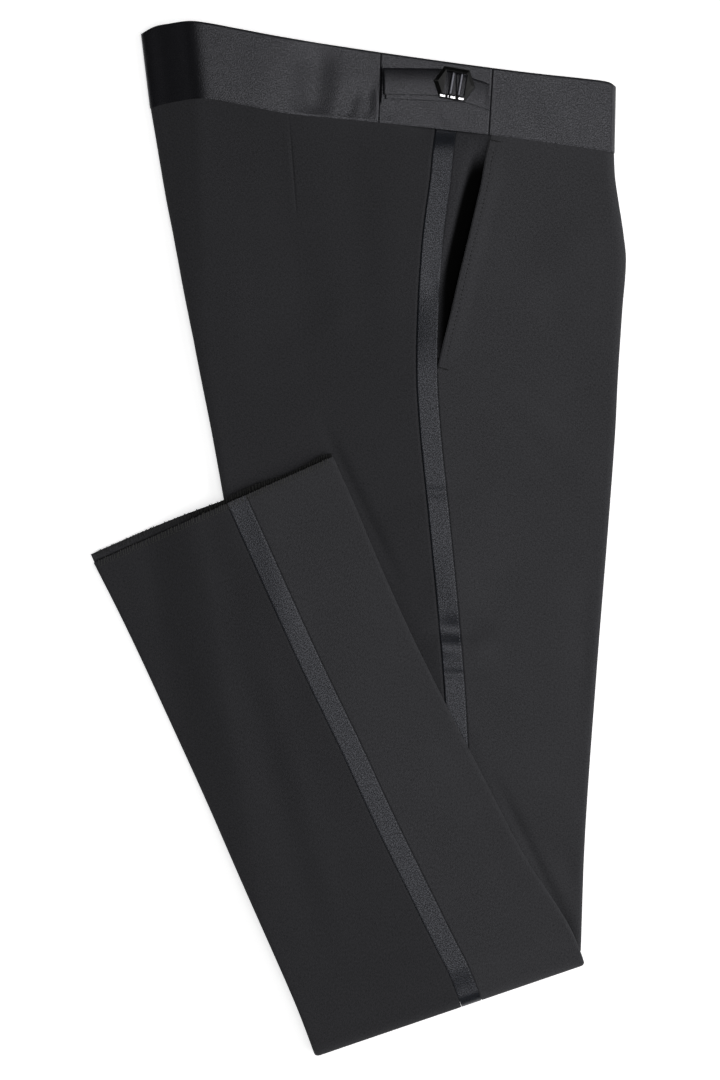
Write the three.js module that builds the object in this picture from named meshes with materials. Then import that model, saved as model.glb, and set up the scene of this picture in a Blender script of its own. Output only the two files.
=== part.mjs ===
// A pair of tuxedo trousers, folded on the leg creases, lying on its left side
// with both lower legs turned up over the front. Millimetres, +Z up.
// X runs from the back crease to the front crease, Y from the turn up to the waist.
// The origin is at the middle of the footprint, on the surface that the cloth rests on.
import * as THREE from 'three';

// Driving sizes
const CLOTH = 1.3;
const BAND_CLOTH = 2.4;
const SEAM_GAP = 0.3;
const LAYER_GAP = 0.35;
const BAND_PROUD = 0.5;
const STRIPE = { width: 15, cloth: 1.0, sunk: 1.2, proud: 0.1 };
const FACING = { underStripe: 1.2, underFront: 1.65, cloth: 1.2, under: 13, end: 0.262 };
const POCKET_END = 0.273;
const CORE_LOW = 3.15;
const CORE_TOP = 4.3;
const LOW_ROLL_MOST = 9;
const TURNED_UP = { atTurn: 7, atHem: 6.2, backRoll: 3.2, frontRoll: 2.8 };
const HEM_STEP = 4.6;
const DRAPE = { from: 18, to: 64 };
const HOOK = 75;

// Trouser legs from the waist seam (down 0) to the axis of the turn (down 1).
// backX and frontX are the creases, seam is the side seam's distance from the back crease.
const LEGS = [
  { down: 0.00, backX: -150.5, frontX: 184.0, seam: 206.4 },
  { down: 0.03, backX: -147.0, frontX: 184.8, seam: 200.4 },
  { down: 0.06, backX: -143.6, frontX: 187.2, seam: 195.0 },
  { down: 0.10, backX: -138.9, frontX: 190.7, seam: 186.6 },
  { down: 0.135, backX: -134.2, frontX: 192.6, seam: 179.3 },
  { down: 0.20, backX: -126.1, frontX: 189.7, seam: 168.3 },
  { down: 0.28, backX: -115.2, frontX: 186.6, seam: 156.3 },
  { down: 0.35, backX: -105.8, frontX: 184.6, seam: 149.5 },
  { down: 0.45, backX: -93.9, frontX: 180.4, seam: 144.1 },
  { down: 0.65, backX: -72.2, frontX: 171.2, seam: 134.6 },
  { down: 0.85, backX: -50.5, frontX: 163.0, seam: 120.7 },
  { down: 1.00, backX: -34.2, frontX: 159.8, seam: 111.1 },
];

// The stack of both legs, at the same lines across.
// backTop and frontTop are its height at each crease, crown is its rise between them.
// backRoll and frontRoll say how far in from a crease the cloth rounds over.
// split is 0 where both legs are one roll and 1 where each leg has its own crease.
const STACK = [
  { down: 0.00, backTop: 19.0, frontTop: 9.0, crown: 0.6, backRoll: 38.0, frontRoll: 7.0, split: 0.0 },
  { down: 0.03, backTop: 18.6, frontTop: 9.6, crown: 1.2, backRoll: 36.0, frontRoll: 7.5, split: 0.0 },
  { down: 0.06, backTop: 18.0, frontTop: 10.2, crown: 1.8, backRoll: 33.0, frontRoll: 8.0, split: 0.0 },
  { down: 0.10, backTop: 17.2, frontTop: 11.0, crown: 2.4, backRoll: 29.0, frontRoll: 8.5, split: 0.0 },
  { down: 0.135, backTop: 16.4, frontTop: 11.4, crown: 2.8, backRoll: 25.5, frontRoll: 8.0, split: 0.05 },
  { down: 0.20, backTop: 14.8, frontTop: 11.6, crown: 3.0, backRoll: 18.5, frontRoll: 6.5, split: 0.4 },
  { down: 0.28, backTop: 13.0, frontTop: 11.5, crown: 2.8, backRoll: 11.0, frontRoll: 5.2, split: 0.9 },
  { down: 0.35, backTop: 12.2, frontTop: 11.4, crown: 2.4, backRoll: 6.5, frontRoll: 4.6, split: 1.0 },
  { down: 0.45, backTop: 11.6, frontTop: 11.2, crown: 1.8, backRoll: 5.2, frontRoll: 4.2, split: 1.0 },
  { down: 0.65, backTop: 11.2, frontTop: 11.0, crown: 1.0, backRoll: 4.6, frontRoll: 4.0, split: 1.0 },
  { down: 0.85, backTop: 11.0, frontTop: 11.0, crown: 0.3, backRoll: 4.4, frontRoll: 4.0, split: 1.0 },
  { down: 1.00, backTop: 11.0, frontTop: 11.0, crown: 0.0, backRoll: 4.2, frontRoll: 4.0, split: 1.0 },
];

// Near the waist the back crease lies low and the cloth slopes up from it.
// low is the share of the stack below the crease, bevel is how straight the slope is.
const BACK_SLOPE = [
  { down: 0.00, low: 0.22, bevel: 0.65 },
  { down: 0.03, low: 0.24, bevel: 0.60 },
  { down: 0.06, low: 0.27, bevel: 0.52 },
  { down: 0.10, low: 0.32, bevel: 0.42 },
  { down: 0.135, low: 0.37, bevel: 0.32 },
  { down: 0.20, low: 0.45, bevel: 0.16 },
  { down: 0.28, low: 0.50, bevel: 0 },
  { down: 0.35, low: 0.50, bevel: 0 },
  { down: 1.00, low: 0.50, bevel: 0 },
];
const LEG_BACK_Y = { waist: 310.7, turn: -364.6 };
const LEG_FRONT_Y = { waist: 278.3, turn: -298.4 };

// The turned-up legs from the axis of the turn (up 0) to the hem (up 1).
const TURN_UPS = [
  { up: 0.00, backX: -34.2, frontX: 159.8, seam: 111.1 },
  { up: 0.05, backX: -40.6, frontX: 152.2, seam: 110.5 },
  { up: 0.10, backX: -47.6, frontX: 141.6, seam: 108.7 },
  { up: 0.20, backX: -62.8, frontX: 118.3, seam: 106.7 },
  { up: 0.35, backX: -86.1, frontX: 90.5, seam: 104.6 },
  { up: 0.50, backX: -109.2, frontX: 62.9, seam: 103.6 },
  { up: 0.65, backX: -133.2, frontX: 36.4, seam: 102.5 },
  { up: 0.80, backX: -157.2, frontX: 12.4, seam: 102.6 },
  { up: 0.90, backX: -173.9, frontX: -2.6, seam: 103.6 },
  { up: 1.00, backX: -191.5, frontX: -18.7, seam: 105.4 },
];
const HEM_BACK_Y = -17.6;
const HEM_FRONT_Y = 58.7;

// The slanted pocket opening: how far its edge lies ahead of the side seam,
// how far the cloth behind it sags, and how far the edge stands up.
const POCKET_EDGE = [
  { down: 0.00, ahead: 39.6, sag: 0.0, lift: 0.0 },
  { down: 0.07, ahead: 36.2, sag: 1.0, lift: 1.1 },
  { down: 0.12, ahead: 33.0, sag: 1.0, lift: 1.3 },
  { down: 0.17, ahead: 28.0, sag: 1.0, lift: 1.2 },
  { down: 0.21, ahead: 23.7, sag: 0.8, lift: 0.9 },
  { down: 0.273, ahead: 15.4, sag: 0.0, lift: 0.0 },
];

// How far the waist seam and the waistband's top edge bow up from a straight line,
// across from the back crease (0) to the front crease (1).
const BAND_BOW = [
  { across: 0.00, low: 0.0, top: 0.0 },
  { across: 0.03, low: 3.2, top: 9.6 },
  { across: 0.06, low: 5.8, top: 12.8 },
  { across: 0.10, low: 8.4, top: 16.0 },
  { across: 0.14, low: 9.2, top: 15.6 },
  { across: 0.20, low: 7.2, top: 13.5 },
  { across: 0.30, low: 4.2, top: 10.0 },
  { across: 0.45, low: 4.4, top: 7.0 },
  { across: 0.60, low: 4.4, top: 4.3 },
  { across: 0.80, low: 3.4, top: 2.3 },
  { across: 0.95, low: 1.2, top: 1.8 },
  { across: 1.00, low: 0.0, top: 0.0 },
];
const BAND = {
  backTop: [-157.0, 360.4],
  frontTop: [185.0, 327.2],
  sideFrom: [165.0, 173.2],
  sideTo: [244.6, 254.1],
};
const BOW_FADE = 0.2;

// The side adjuster lies along the waistband. Its corners are places on the plan, and
// depth is measured down from the waistband's own line, so it is negative above it.
const STRAPS = {
  adjuster_strap_tail: {
    top: [[18.3, 335.2], [67, 333.7]], low: [[18.3, 315.9], [67, 313.9]], depth: -1.8, cloth: 1.0,
  },
  adjuster_strap_back: {
    top: [[17.2, 338.0], [67, 337.7]], low: [[18.3, 318.8], [67, 317.9]], depth: -3.1, cloth: 1.0,
  },
  adjuster_strap_front: {
    top: [[69.5, 335.2], [94, 327.2]], low: [[69.5, 315.4], [94, 308.0]], depth: -3.1, cloth: 2.3,
  },
};
const BUCKLE = {
  centre: [68.5, 326.5], tilt: -9.5, depth: -3.45, plate: 2.0,
  halfWidth: 15.0, halfHeight: 11.4, shoulder: 9.2,
  slots: [
    { from: -6.9, to: -3.2, half: 8.2 },
    { from: -0.9, to: 2.9, half: 8.6 },
    { from: 5.2, to: 8.0, half: 8.0 },
  ],
};

const radians = THREE.MathUtils.degToRad;
const mix = THREE.MathUtils.lerp;
const smooth = THREE.MathUtils.smoothstep;

// Reads one column of a table at a place, on a smooth curve through the rows.
function read(rows, key, column, at) {
  const last = rows.length - 1;
  let i = 0;
  while (i < last - 1 && at > rows[i + 1][key]) i += 1;
  const slope = (j) => {
    const a = rows[Math.max(j - 1, 0)];
    const b = rows[Math.min(j + 1, last)];
    return (b[column] - a[column]) / (b[key] - a[key]);
  };
  const step = rows[i + 1][key] - rows[i][key];
  const t = THREE.MathUtils.clamp((at - rows[i][key]) / step, 0, 1);
  const t2 = t * t;
  const t3 = t2 * t;
  return (2 * t3 - 3 * t2 + 1) * rows[i][column] + (t3 - 2 * t2 + t) * step * slope(i)
    + (3 * t2 - 2 * t3) * rows[i + 1][column] + (t3 - t2) * step * slope(i + 1);
}

// One straight line across the plan, from the back crease to the front crease.
function lineAcross(backX, backY, frontX, frontY) {
  const back = new THREE.Vector2(backX, backY);
  const along = new THREE.Vector2(frontX, frontY).sub(back);
  const width = along.length();
  return { back, width, along: along.divideScalar(width) };
}

function legLine(down) {
  return lineAcross(
    read(LEGS, 'down', 'backX', down), mix(LEG_BACK_Y.waist, LEG_BACK_Y.turn, down),
    read(LEGS, 'down', 'frontX', down), mix(LEG_FRONT_Y.waist, LEG_FRONT_Y.turn, down),
  );
}

// Height of the upper legs' top face, at a distance in from the back crease.
function legTop(down, width, inFromBack) {
  const backRoll = read(STACK, 'down', 'backRoll', down);
  const frontRoll = read(STACK, 'down', 'frontRoll', down);
  const share = THREE.MathUtils.clamp((inFromBack - backRoll) / (width - backRoll - frontRoll), 0, 1);
  const backTop = read(STACK, 'down', 'backTop', down);
  const frontTop = read(STACK, 'down', 'frontTop', down);
  const rise = read(STACK, 'down', 'crown', down) * Math.sin(Math.PI * share) ** 2;
  return mix(backTop, frontTop, smooth(share, 0, 1)) + rise;
}

// Finds which line across the upper legs passes through a point, by halving.
function findDown(x, y) {
  let above = 0;
  let below = 1.05;
  for (let turn = 0; turn < 30; turn += 1) {
    const middle = (above + below) / 2;
    const line = legLine(middle);
    const side = line.along.x * (y - line.back.y) - line.along.y * (x - line.back.x);
    if (side > 0) below = middle;
    else above = middle;
  }
  return (above + below) / 2;
}

// What the turned-up legs lie on: the upper legs, and beyond their back crease
// the cloth slopes down to the surface below.
function restingHeight(x, y) {
  const down = findDown(x, y);
  const line = legLine(down);
  const inFromBack = line.along.x * (x - line.back.x) + line.along.y * (y - line.back.y);
  const held = legTop(Math.min(down, 1), line.width, inFromBack) + LAYER_GAP;
  return held * (1 - smooth(-inFromBack, DRAPE.from, DRAPE.to));
}

// A station is one line across the cloth: its roll at each crease, the seam's place,
// and a function that turns (distance in from the back crease, depth) into a point.
function legRolls(down, backTop, frontTop, upperSide) {
  const split = read(STACK, 'down', 'split', down);
  const low = read(BACK_SLOPE, 'down', 'low', down);
  const backRoll = read(STACK, 'down', 'backRoll', down);
  const part = (height) => (height - SEAM_GAP / 2) / (1 + Math.sin(radians(HOOK * split)));
  return {
    backRoll: upperSide ? backRoll : Math.min(backRoll, LOW_ROLL_MOST),
    frontRoll: read(STACK, 'down', 'frontRoll', down),
    backThick: part(backTop * (upperSide ? 1 - low : low)),
    frontThick: part(frontTop / 2),
    bevel: upperSide ? read(BACK_SLOPE, 'down', 'bevel', down) : 0,
    hook: -HOOK * split,
    split,
  };
}

// A place on the roll round the back crease: step is 0 at the crease and 1 on top.
// It is a quarter ellipse or more, mixed with a straight slope by bevel.
function backRollPlace(at, step, depth) {
  const angle = radians(mix(at.hook, 90, step));
  const slope = Math.hypot(at.backRoll, at.backThick);
  const straight = at.bevel * smooth(step, 0, 0.4);
  const round = [
    at.backRoll - (at.backRoll - depth) * Math.cos(angle),
    at.backThick - (at.backThick - depth) * Math.sin(angle),
  ];
  const sloped = [
    at.backRoll * step + (depth * at.backThick) / slope,
    at.backThick * (1 - step) + (depth * at.backRoll) / slope,
  ];
  const deep = mix(round[1], sloped[1], straight);
  return [mix(round[0], sloped[0], straight), Math.min(deep, at.backThick)];
}

// The hidden layers' back edge near the waist, from the underside to below the slope,
// as (distance in from the back crease, height)
function slopeWedge(down, width) {
  const upper = legRolls(down, ...stackTops(down), true);
  const tip = read(BACK_SLOPE, 'down', 'low', down) * stackTops(down)[0] + 0.3;
  const wedge = [[12, CORE_LOW], [9, mix(CORE_LOW, tip, 0.35)], [6.4, tip]];
  for (const step of [0.4, 0.6, 0.8, 1]) {
    const [inFromBack, deep] = backRollPlace(upper, step, CORE_TOP);
    wedge.push([inFromBack, legTop(down, width, inFromBack) - deep]);
  }
  return wedge;
}

function stackTops(down) {
  return [read(STACK, 'down', 'backTop', down), read(STACK, 'down', 'frontTop', down)];
}

function bowAt(share, rise, down) {
  const low = read(BAND_BOW, 'across', 'low', share);
  const top = read(BAND_BOW, 'across', 'top', share);
  return mix(low, top, rise) * (1 - smooth(down, 0, BOW_FADE));
}

function planPoint(line, inFromBack, rise, down) {
  const share = THREE.MathUtils.clamp(inFromBack / line.width, 0, 1);
  const x = line.back.x + line.along.x * inFromBack;
  const y = line.back.y + line.along.y * inFromBack + bowAt(share, rise, down);
  return [x, y];
}

function legStation(down, upperSide) {
  const line = legLine(down);
  const seam = read(LEGS, 'down', 'seam', down);
  const pocket = down < POCKET_END ? seam + read(POCKET_EDGE, 'down', 'ahead', down) : null;
  const place = (inFromBack, depth) => {
    const [x, y] = planPoint(line, inFromBack, 0, down);
    const z = upperSide ? legTop(down, line.width, inFromBack) - depth : depth;
    return new THREE.Vector3(x, y, z);
  };
  const inside = (inFromBack) => legTop(down, line.width, inFromBack) - CORE_TOP;
  const rolls = legRolls(down, ...stackTops(down), upperSide);
  const wedge = slopeWedge(down, line.width);
  const openPocket = down <= FACING.end;
  return { line, down, upperSide, seam, pocket, openPocket, place, inside, wedge, ...rolls };
}

// rise is 0 at the waist seam and 1 at the waistband's top edge
function bandStation(rise, upperSide) {
  const line = lineAcross(
    mix(LEGS[0].backX, BAND.backTop[0], rise), mix(LEG_BACK_Y.waist, BAND.backTop[1], rise),
    mix(LEGS[0].frontX, BAND.frontTop[0], rise), mix(LEG_FRONT_Y.waist, BAND.frontTop[1], rise),
  );
  const place = (inFromBack, depth) => {
    const [x, y] = planPoint(line, inFromBack, rise, 0);
    const z = upperSide ? legTop(0, line.width, inFromBack) - depth : depth;
    return new THREE.Vector3(x, y, z);
  };
  const inside = (inFromBack) => legTop(0, line.width, inFromBack) - CORE_TOP;
  const rolls = legRolls(0, ...stackTops(0), upperSide);
  const wedge = slopeWedge(0, line.width);
  const sideFrom = mix(...BAND.sideFrom, rise);
  const sideTo = mix(...BAND.sideTo, rise);
  return { line, place, inside, sideFrom, sideTo, wedge, ...rolls };
}

// A point on the waistband at a place on the plan, found by halving
function bandPoint(x, y, depth) {
  let low = 0;
  let high = 1;
  let inFromBack = 0;
  let width = 1;
  for (let turn = 0; turn < 24; turn += 1) {
    const rise = (low + high) / 2;
    const { line } = bandStation(rise, true);
    inFromBack = (x - line.back.x) / line.along.x;
    width = line.width;
    if (planPoint(line, inFromBack, rise, 0)[1] < y) low = rise;
    else high = rise;
  }
  return new THREE.Vector3(x, y, legTop(0, width, inFromBack) - depth);
}

const TURN_LINE = legLine(1);
const TURN_OUT = new THREE.Vector2(TURN_LINE.along.y, -TURN_LINE.along.x);
const TURN_STACK = STACK.at(-1).backTop;
const TURN_RADIUS = (TURN_STACK + LAYER_GAP + TURNED_UP.atTurn) / 2;

function turnedUpRolls(thick) {
  const half = (thick / 2 - SEAM_GAP / 2) / (1 + Math.sin(radians(HOOK)));
  return {
    backRoll: TURNED_UP.backRoll, frontRoll: TURNED_UP.frontRoll,
    backThick: half, frontThick: half, bevel: 0, hook: -HOOK, split: 1,
  };
}

// angle is -90 on the underside and 90 on top
function turnStation(angle) {
  const share = (angle + 90) / 180;
  const below = legRolls(1, TURN_STACK, TURN_STACK, false);
  const above = turnedUpRolls(TURNED_UP.atTurn);
  const rolls = {};
  for (const key of Object.keys(below)) rolls[key] = mix(below[key], above[key], share);
  const place = (inFromBack, depth) => {
    const out = (TURN_RADIUS - depth) * Math.cos(radians(angle));
    const x = TURN_LINE.back.x + TURN_LINE.along.x * inFromBack + TURN_OUT.x * out;
    const y = TURN_LINE.back.y + TURN_LINE.along.y * inFromBack + TURN_OUT.y * out;
    const z = TURN_RADIUS + (TURN_RADIUS - depth) * Math.sin(radians(angle));
    return new THREE.Vector3(x, y, z);
  };
  const insideBelow = TURN_STACK - CORE_TOP;
  const inside = () => mix(insideBelow, TURNED_UP.atTurn, share);
  return { line: TURN_LINE, seam: LEGS.at(-1).seam, place, inside, share, ...rolls };
}

// beyond is how far past the left leg's hem the station lies
function turnedUpStation(up, beyond = 0) {
  const line = lineAcross(
    read(TURN_UPS, 'up', 'backX', up), mix(LEG_BACK_Y.turn, HEM_BACK_Y, up),
    read(TURN_UPS, 'up', 'frontX', up), mix(LEG_FRONT_Y.turn, HEM_FRONT_Y, up),
  );
  line.back.x -= line.along.y * beyond;
  line.back.y += line.along.x * beyond;
  const thick = mix(TURNED_UP.atTurn, TURNED_UP.atHem, up);
  const place = (inFromBack, depth) => {
    const x = line.back.x + line.along.x * inFromBack;
    const y = line.back.y + line.along.y * inFromBack;
    return new THREE.Vector3(x, y, restingHeight(x, y) + thick - depth);
  };
  const seam = read(TURN_UPS, 'up', 'seam', up);
  return { line, seam, place, inside: () => thick, share: 1, thick, ...turnedUpRolls(thick) };
}

// A column is a place across the cloth, given as a function of the station and the depth.
const ROLL_STEPS = [0, 0.22, 0.42, 0.62, 0.82, 1];

function backRollColumns() {
  return ROLL_STEPS.map((step) => (at, depth) => backRollPlace(at, step, depth));
}

function frontRollColumns() {
  return ROLL_STEPS.map((step) => (at, depth) => {
    const angle = radians(mix(at.hook, 90, step));
    return [
      at.line.width - at.frontRoll + (at.frontRoll - depth) * Math.cos(angle),
      at.frontThick - (at.frontThick - depth) * Math.sin(angle),
    ];
  }).reverse();
}

// A column at a distance in from the back crease, sunk by an amount
function columnAt(where, sunk = () => 0) {
  return (at, depth) => [where(at), depth + sunk(at)];
}

function columnsBetween(from, to, steps, sunk) {
  const columns = [];
  for (let i = 0; i <= steps; i += 1) {
    columns.push(columnAt((at) => mix(from(at), to(at), i / steps), sunk));
  }
  return columns;
}

// Closes points and faces into a mesh whose faces point out.
function closedMesh(name, points, faces, material) {
  let volume = 0;
  for (const [a, b, c] of faces) {
    volume += points[a].dot(new THREE.Vector3().crossVectors(points[b], points[c]));
  }
  const index = volume > 0 ? faces.flat() : faces.flatMap(([a, b, c]) => [a, c, b]);
  const geometry = new THREE.BufferGeometry().setFromPoints(points);
  geometry.setIndex(index);
  geometry.computeVertexNormals();
  const mesh = new THREE.Mesh(geometry, material);
  mesh.name = name;
  return mesh;
}

// A wall of cloth: a grid of outer points and a grid of inner points, closed round its edges.
function wall(name, stations, columns, outerDepth, cloth, material) {
  const points = [];
  for (const depth of [outerDepth, outerDepth + cloth]) {
    for (const at of stations) {
      for (const column of columns) points.push(at.place(...column(at, depth)));
    }
  }
  const across = columns.length;
  const layer = stations.length * across;
  const faces = [];
  const quad = (a, b, c, d) => faces.push([a, b, c], [a, c, d]);
  for (let i = 0; i + 1 < stations.length; i += 1) {
    for (let j = 0; j + 1 < across; j += 1) {
      const a = i * across + j;
      quad(a, a + 1, a + across + 1, a + across);
      quad(layer + a, layer + a + across, layer + a + across + 1, layer + a + 1);
    }
    const first = i * across;
    const end = first + across - 1;
    quad(first, first + across, layer + first + across, layer + first);
    quad(end + across, end, layer + end, layer + end + across);
  }
  const lastRow = layer - across;
  for (let j = 0; j + 1 < across; j += 1) {
    quad(j + 1, j, layer + j, layer + j + 1);
    quad(lastRow + j, lastRow + j + 1, layer + lastRow + j + 1, layer + lastRow + j);
  }
  return closedMesh(name, points, faces, material);
}

// A solid lofted through rings of the same number of points, closed by a fan at each end.
function loft(name, rings, material) {
  const count = rings[0].length;
  const points = rings.flat();
  const faces = [];
  for (let i = 0; i + 1 < rings.length; i += 1) {
    for (let j = 0; j < count; j += 1) {
      const a = i * count + j;
      const b = i * count + ((j + 1) % count);
      faces.push([a, b, b + count], [a, b + count, a + count]);
    }
  }
  const cap = (start, flip) => {
    for (let j = 0; j < count / 2 - 1; j += 1) {
      const k = count - 1 - j;
      const corners = [[start + j, start + k, start + k - 1], [start + j, start + k - 1, start + j + 1]];
      for (const [a, b, c] of corners) {
        if (new Set([a, b, c]).size === 3) faces.push(flip ? [a, c, b] : [a, b, c]);
      }
    }
  };
  cap(0, false);
  cap((rings.length - 1) * count, true);
  return closedMesh(name, points, faces, material);
}

// A strap on the waistband, from its four corners on the plan
function strap(name, material) {
  const { top, low, depth, cloth } = STRAPS[name];
  const corner = ([start, end], share) => [mix(start[0], end[0], share), mix(start[1], end[1], share)];
  const stations = [0, 0.25, 0.5, 0.75, 1].map((share) => ({
    place: (across, down) => {
      const [from, to] = [corner(top, share), corner(low, share)];
      return bandPoint(mix(from[0], to[0], across), mix(from[1], to[1], across), down);
    },
  }));
  const columns = [0, 0.5, 1].map((across) => (at, down) => [across, down]);
  return wall(name, stations, columns, depth, cloth, material);
}

// The six-sided slide buckle: a plate with slots that leave two bars
function buckle(material) {
  const { centre, tilt, halfWidth, halfHeight, shoulder } = BUCKLE;
  const outline = new THREE.Shape([
    [-halfWidth, 0], [-shoulder, -halfHeight], [shoulder, -halfHeight],
    [halfWidth, 0], [shoulder, halfHeight], [-shoulder, halfHeight],
  ].map(([x, y]) => new THREE.Vector2(x, y)));
  for (const { from, to, half } of BUCKLE.slots) {
    outline.holes.push(new THREE.Path([
      [from, -half], [from, half], [to, half], [to, -half],
    ].map(([x, y]) => new THREE.Vector2(x, y))));
  }
  const geometry = new THREE.ExtrudeGeometry(outline, { depth: BUCKLE.plate, bevelEnabled: false });
  const mesh = new THREE.Mesh(geometry, material);
  mesh.name = 'adjuster_buckle';
  const back = bandPoint(centre[0] - halfWidth, centre[1], BUCKLE.depth);
  const front = bandPoint(centre[0] + halfWidth, centre[1], BUCKLE.depth);
  const slope = Math.atan2(front.z - back.z, front.x - back.x);
  mesh.rotation.set(0, -slope, radians(tilt), 'YZX');
  mesh.position.copy(back).add(front).multiplyScalar(0.5);
  return mesh;
}

function matter(name, color, roughness, metalness = 0) {
  return new THREE.MeshStandardMaterial({ name, color, roughness, metalness });
}

const satin = matter('satin', 0x2e2e31, 0.42);
const wool = matter('wool', 0x232325, 0.85);
const facingCloth = matter('facing cloth', 0x1c1c1e, 0.88);
const innerCloth = matter('inner cloth', 0x151517, 0.9);
const enamel = matter('buckle enamel', 0x0b0b0c, 0.25, 0.4);

// Rows of stations
const WAIST_START = 0.0005;
const DOWNS = [WAIST_START, 0.03, 0.06, 0.1, 0.135, 0.17, 0.2, 0.235, FACING.end, POCKET_END - 0.002,
  POCKET_END + 0.002, 0.31, 0.35, 0.4, 0.45, 0.55, 0.65, 0.75, 0.85, 0.93];
const RIGHT_END = 0.9975;
const FACING_DOWNS = DOWNS.filter((down) => down <= FACING.end);
const TURN_ANGLES = [-90, -60, -30, 0, 30, 60, 90];
const UPS = [0.03, 0.07, 0.12, 0.2, 0.3, 0.4, 0.5, 0.6, 0.7, 0.8, 0.9, 1];
const BAND_RISES = [0.007, 0.35, 0.7, 1];

const rightStations = [...DOWNS, RIGHT_END].map((down) => legStation(down, true));
const leftStations = [
  ...DOWNS.map((down) => legStation(down, false)),
  ...TURN_ANGLES.map(turnStation),
  ...UPS.map((up) => turnedUpStation(up)),
];
const rightFacingStations = FACING_DOWNS.map((down) => legStation(down, true));
const leftFacingStations = FACING_DOWNS.map((down) => legStation(down, false));
const rightBand = BAND_RISES.map((rise) => bandStation(rise, true));
const leftBand = BAND_RISES.map((rise) => bandStation(rise, false));

// Places across the cloth
const halfGap = SEAM_GAP / 2;
const stripeEnd = (at) => at.seam + STRIPE.width;
const pocketShape = (at, column) => {
  const open = at.pocket && at.upperSide;
  return open ? read(POCKET_EDGE, 'down', column, at.down) : 0;
};
const edgeLift = (at) => pocketShape(at, 'lift');
const frontSunk = (at) => (at.openPocket ? -edgeLift(at) : STRIPE.sunk);
const frontFlat = (at) => at.line.width - at.frontRoll;

const backColumns = [
  ...backRollColumns(),
  ...columnsBetween((at) => mix(at.backRoll, at.seam, 0.16), (at) => at.seam - halfGap, 5),
];
const frontColumns = [
  columnAt((at) => (at.pocket ? at.pocket + halfGap : at.seam), frontSunk),
  columnAt((at) => (at.pocket ? at.pocket + 1.2 : stripeEnd(at) + halfGap), frontSunk),
  columnAt((at) => (at.pocket ? at.pocket + 2.4 : stripeEnd(at) + halfGap + 0.8), (at) => -edgeLift(at)),
  ...columnsBetween(
    (at) => mix(at.pocket ?? stripeEnd(at), frontFlat(at), 0.2),
    (at) => mix(at.seam, frontFlat(at), 0.94),
    5,
  ),
  ...frontRollColumns(),
];
const stripeColumns = columnsBetween((at) => at.seam + halfGap, (at) => stripeEnd(at), 2);
const facingSunk = (start, sag) => (at) => start + sag * pocketShape(at, 'sag');
const rightFacingColumns = [
  columnAt((at) => at.seam + halfGap, facingSunk(FACING.underStripe, 0)),
  columnAt((at) => stripeEnd(at), facingSunk(FACING.underStripe, 0.25)),
  columnAt((at) => mix(stripeEnd(at), at.pocket, 0.55), facingSunk(FACING.underStripe, 0.7)),
  columnAt((at) => at.pocket, facingSunk(FACING.underFront, 1)),
  columnAt((at) => at.pocket + 5, facingSunk(FACING.underFront, 0.8)),
  columnAt((at) => at.pocket + FACING.under, facingSunk(FACING.underFront, 0)),
];
const leftFacingColumns = [
  columnAt((at) => at.seam + halfGap, () => STRIPE.sunk),
  columnAt((at) => stripeEnd(at) + halfGap, () => STRIPE.sunk),
  columnAt((at) => mix(stripeEnd(at) + halfGap, at.pocket - halfGap, 0.25)),
  columnAt((at) => at.pocket - halfGap),
];
const bandBackColumns = [
  ...backRollColumns(),
  ...columnsBetween((at) => at.backRoll + 6, (at) => at.sideFrom - halfGap, 7),
];
const bandSideColumns = columnsBetween((at) => at.sideFrom + halfGap, (at) => at.sideTo - halfGap, 5);
const bandFrontColumns = [
  ...columnsBetween((at) => at.sideTo + halfGap, (at) => frontFlat(at) - 5, 4),
  ...frontRollColumns(),
];

// The hidden layers between the two outer sides, all round the turn and up to the hem
const CORE_ACROSS = 12;
const EDGE_STEPS = 6;

function coreRing(at, outer = CORE_LOW) {
  const share = at.share ?? 0;
  const edge = (roll, thick, inner, wedge) => {
    const centre = roll + 3 * at.split;
    const reach = Math.max(1.5, roll - 4 - 2 * at.split);
    const middle = (outer + inner) / 2;
    const half = (inner - outer) / 2;
    const firstNose = 2 * thick + SEAM_GAP + 0.1;
    const noseTop = Math.max(firstNose, outer);
    const nose = (inner - noseTop) / 2;
    const hookEnd = roll + 2.2;
    const layered = [[hookEnd, outer], [hookEnd - 0.4, noseTop + 0.05], [roll, noseTop]];
    for (const angle of [45, 0, -45]) {
      const reachIn = 0.3 + (roll - 0.3) * (1 - Math.cos(radians(angle)));
      layered.push([reachIn, noseTop + nose - nose * Math.sin(radians(angle))]);
    }
    layered.push([roll, inner]);
    return layered.map(([layeredIn, layeredDepth], step) => {
      const angle = (Math.PI * step) / EDGE_STEPS;
      const kept = wedge ? smooth(at.split, 0, 0.6) : 1;
      const [slopeIn, slopeDepth] = wedge ? wedge[step] : [0, 0];
      const roundIn = mix(slopeIn, centre - reach * Math.sin(angle), kept);
      const roundDepth = mix(slopeDepth, middle - half * Math.cos(angle), kept);
      return [mix(roundIn, layeredIn, share), mix(roundDepth, layeredDepth, share)];
    });
  };
  const backInner = at.inside(at.backRoll);
  const frontInner = at.inside(at.line.width - at.frontRoll);
  const back = edge(at.backRoll, at.backThick, backInner, at.wedge);
  const front = edge(at.frontRoll, at.frontThick, frontInner).map(([x, d]) => [at.line.width - x, d]);
  const ring = [];
  const [start, end] = [back[0][0], front[0][0]];
  for (let i = 1; i < CORE_ACROSS; i += 1) ring.push([mix(start, end, i / CORE_ACROSS), outer]);
  ring.push(...front);
  for (let i = 1; i < CORE_ACROSS; i += 1) {
    const x = mix(front.at(-1)[0], back.at(-1)[0], i / CORE_ACROSS);
    ring.push([x, at.inside(x)]);
  }
  ring.push(...back.reverse());
  return ring.map(([x, d]) => at.place(x, d));
}

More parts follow.
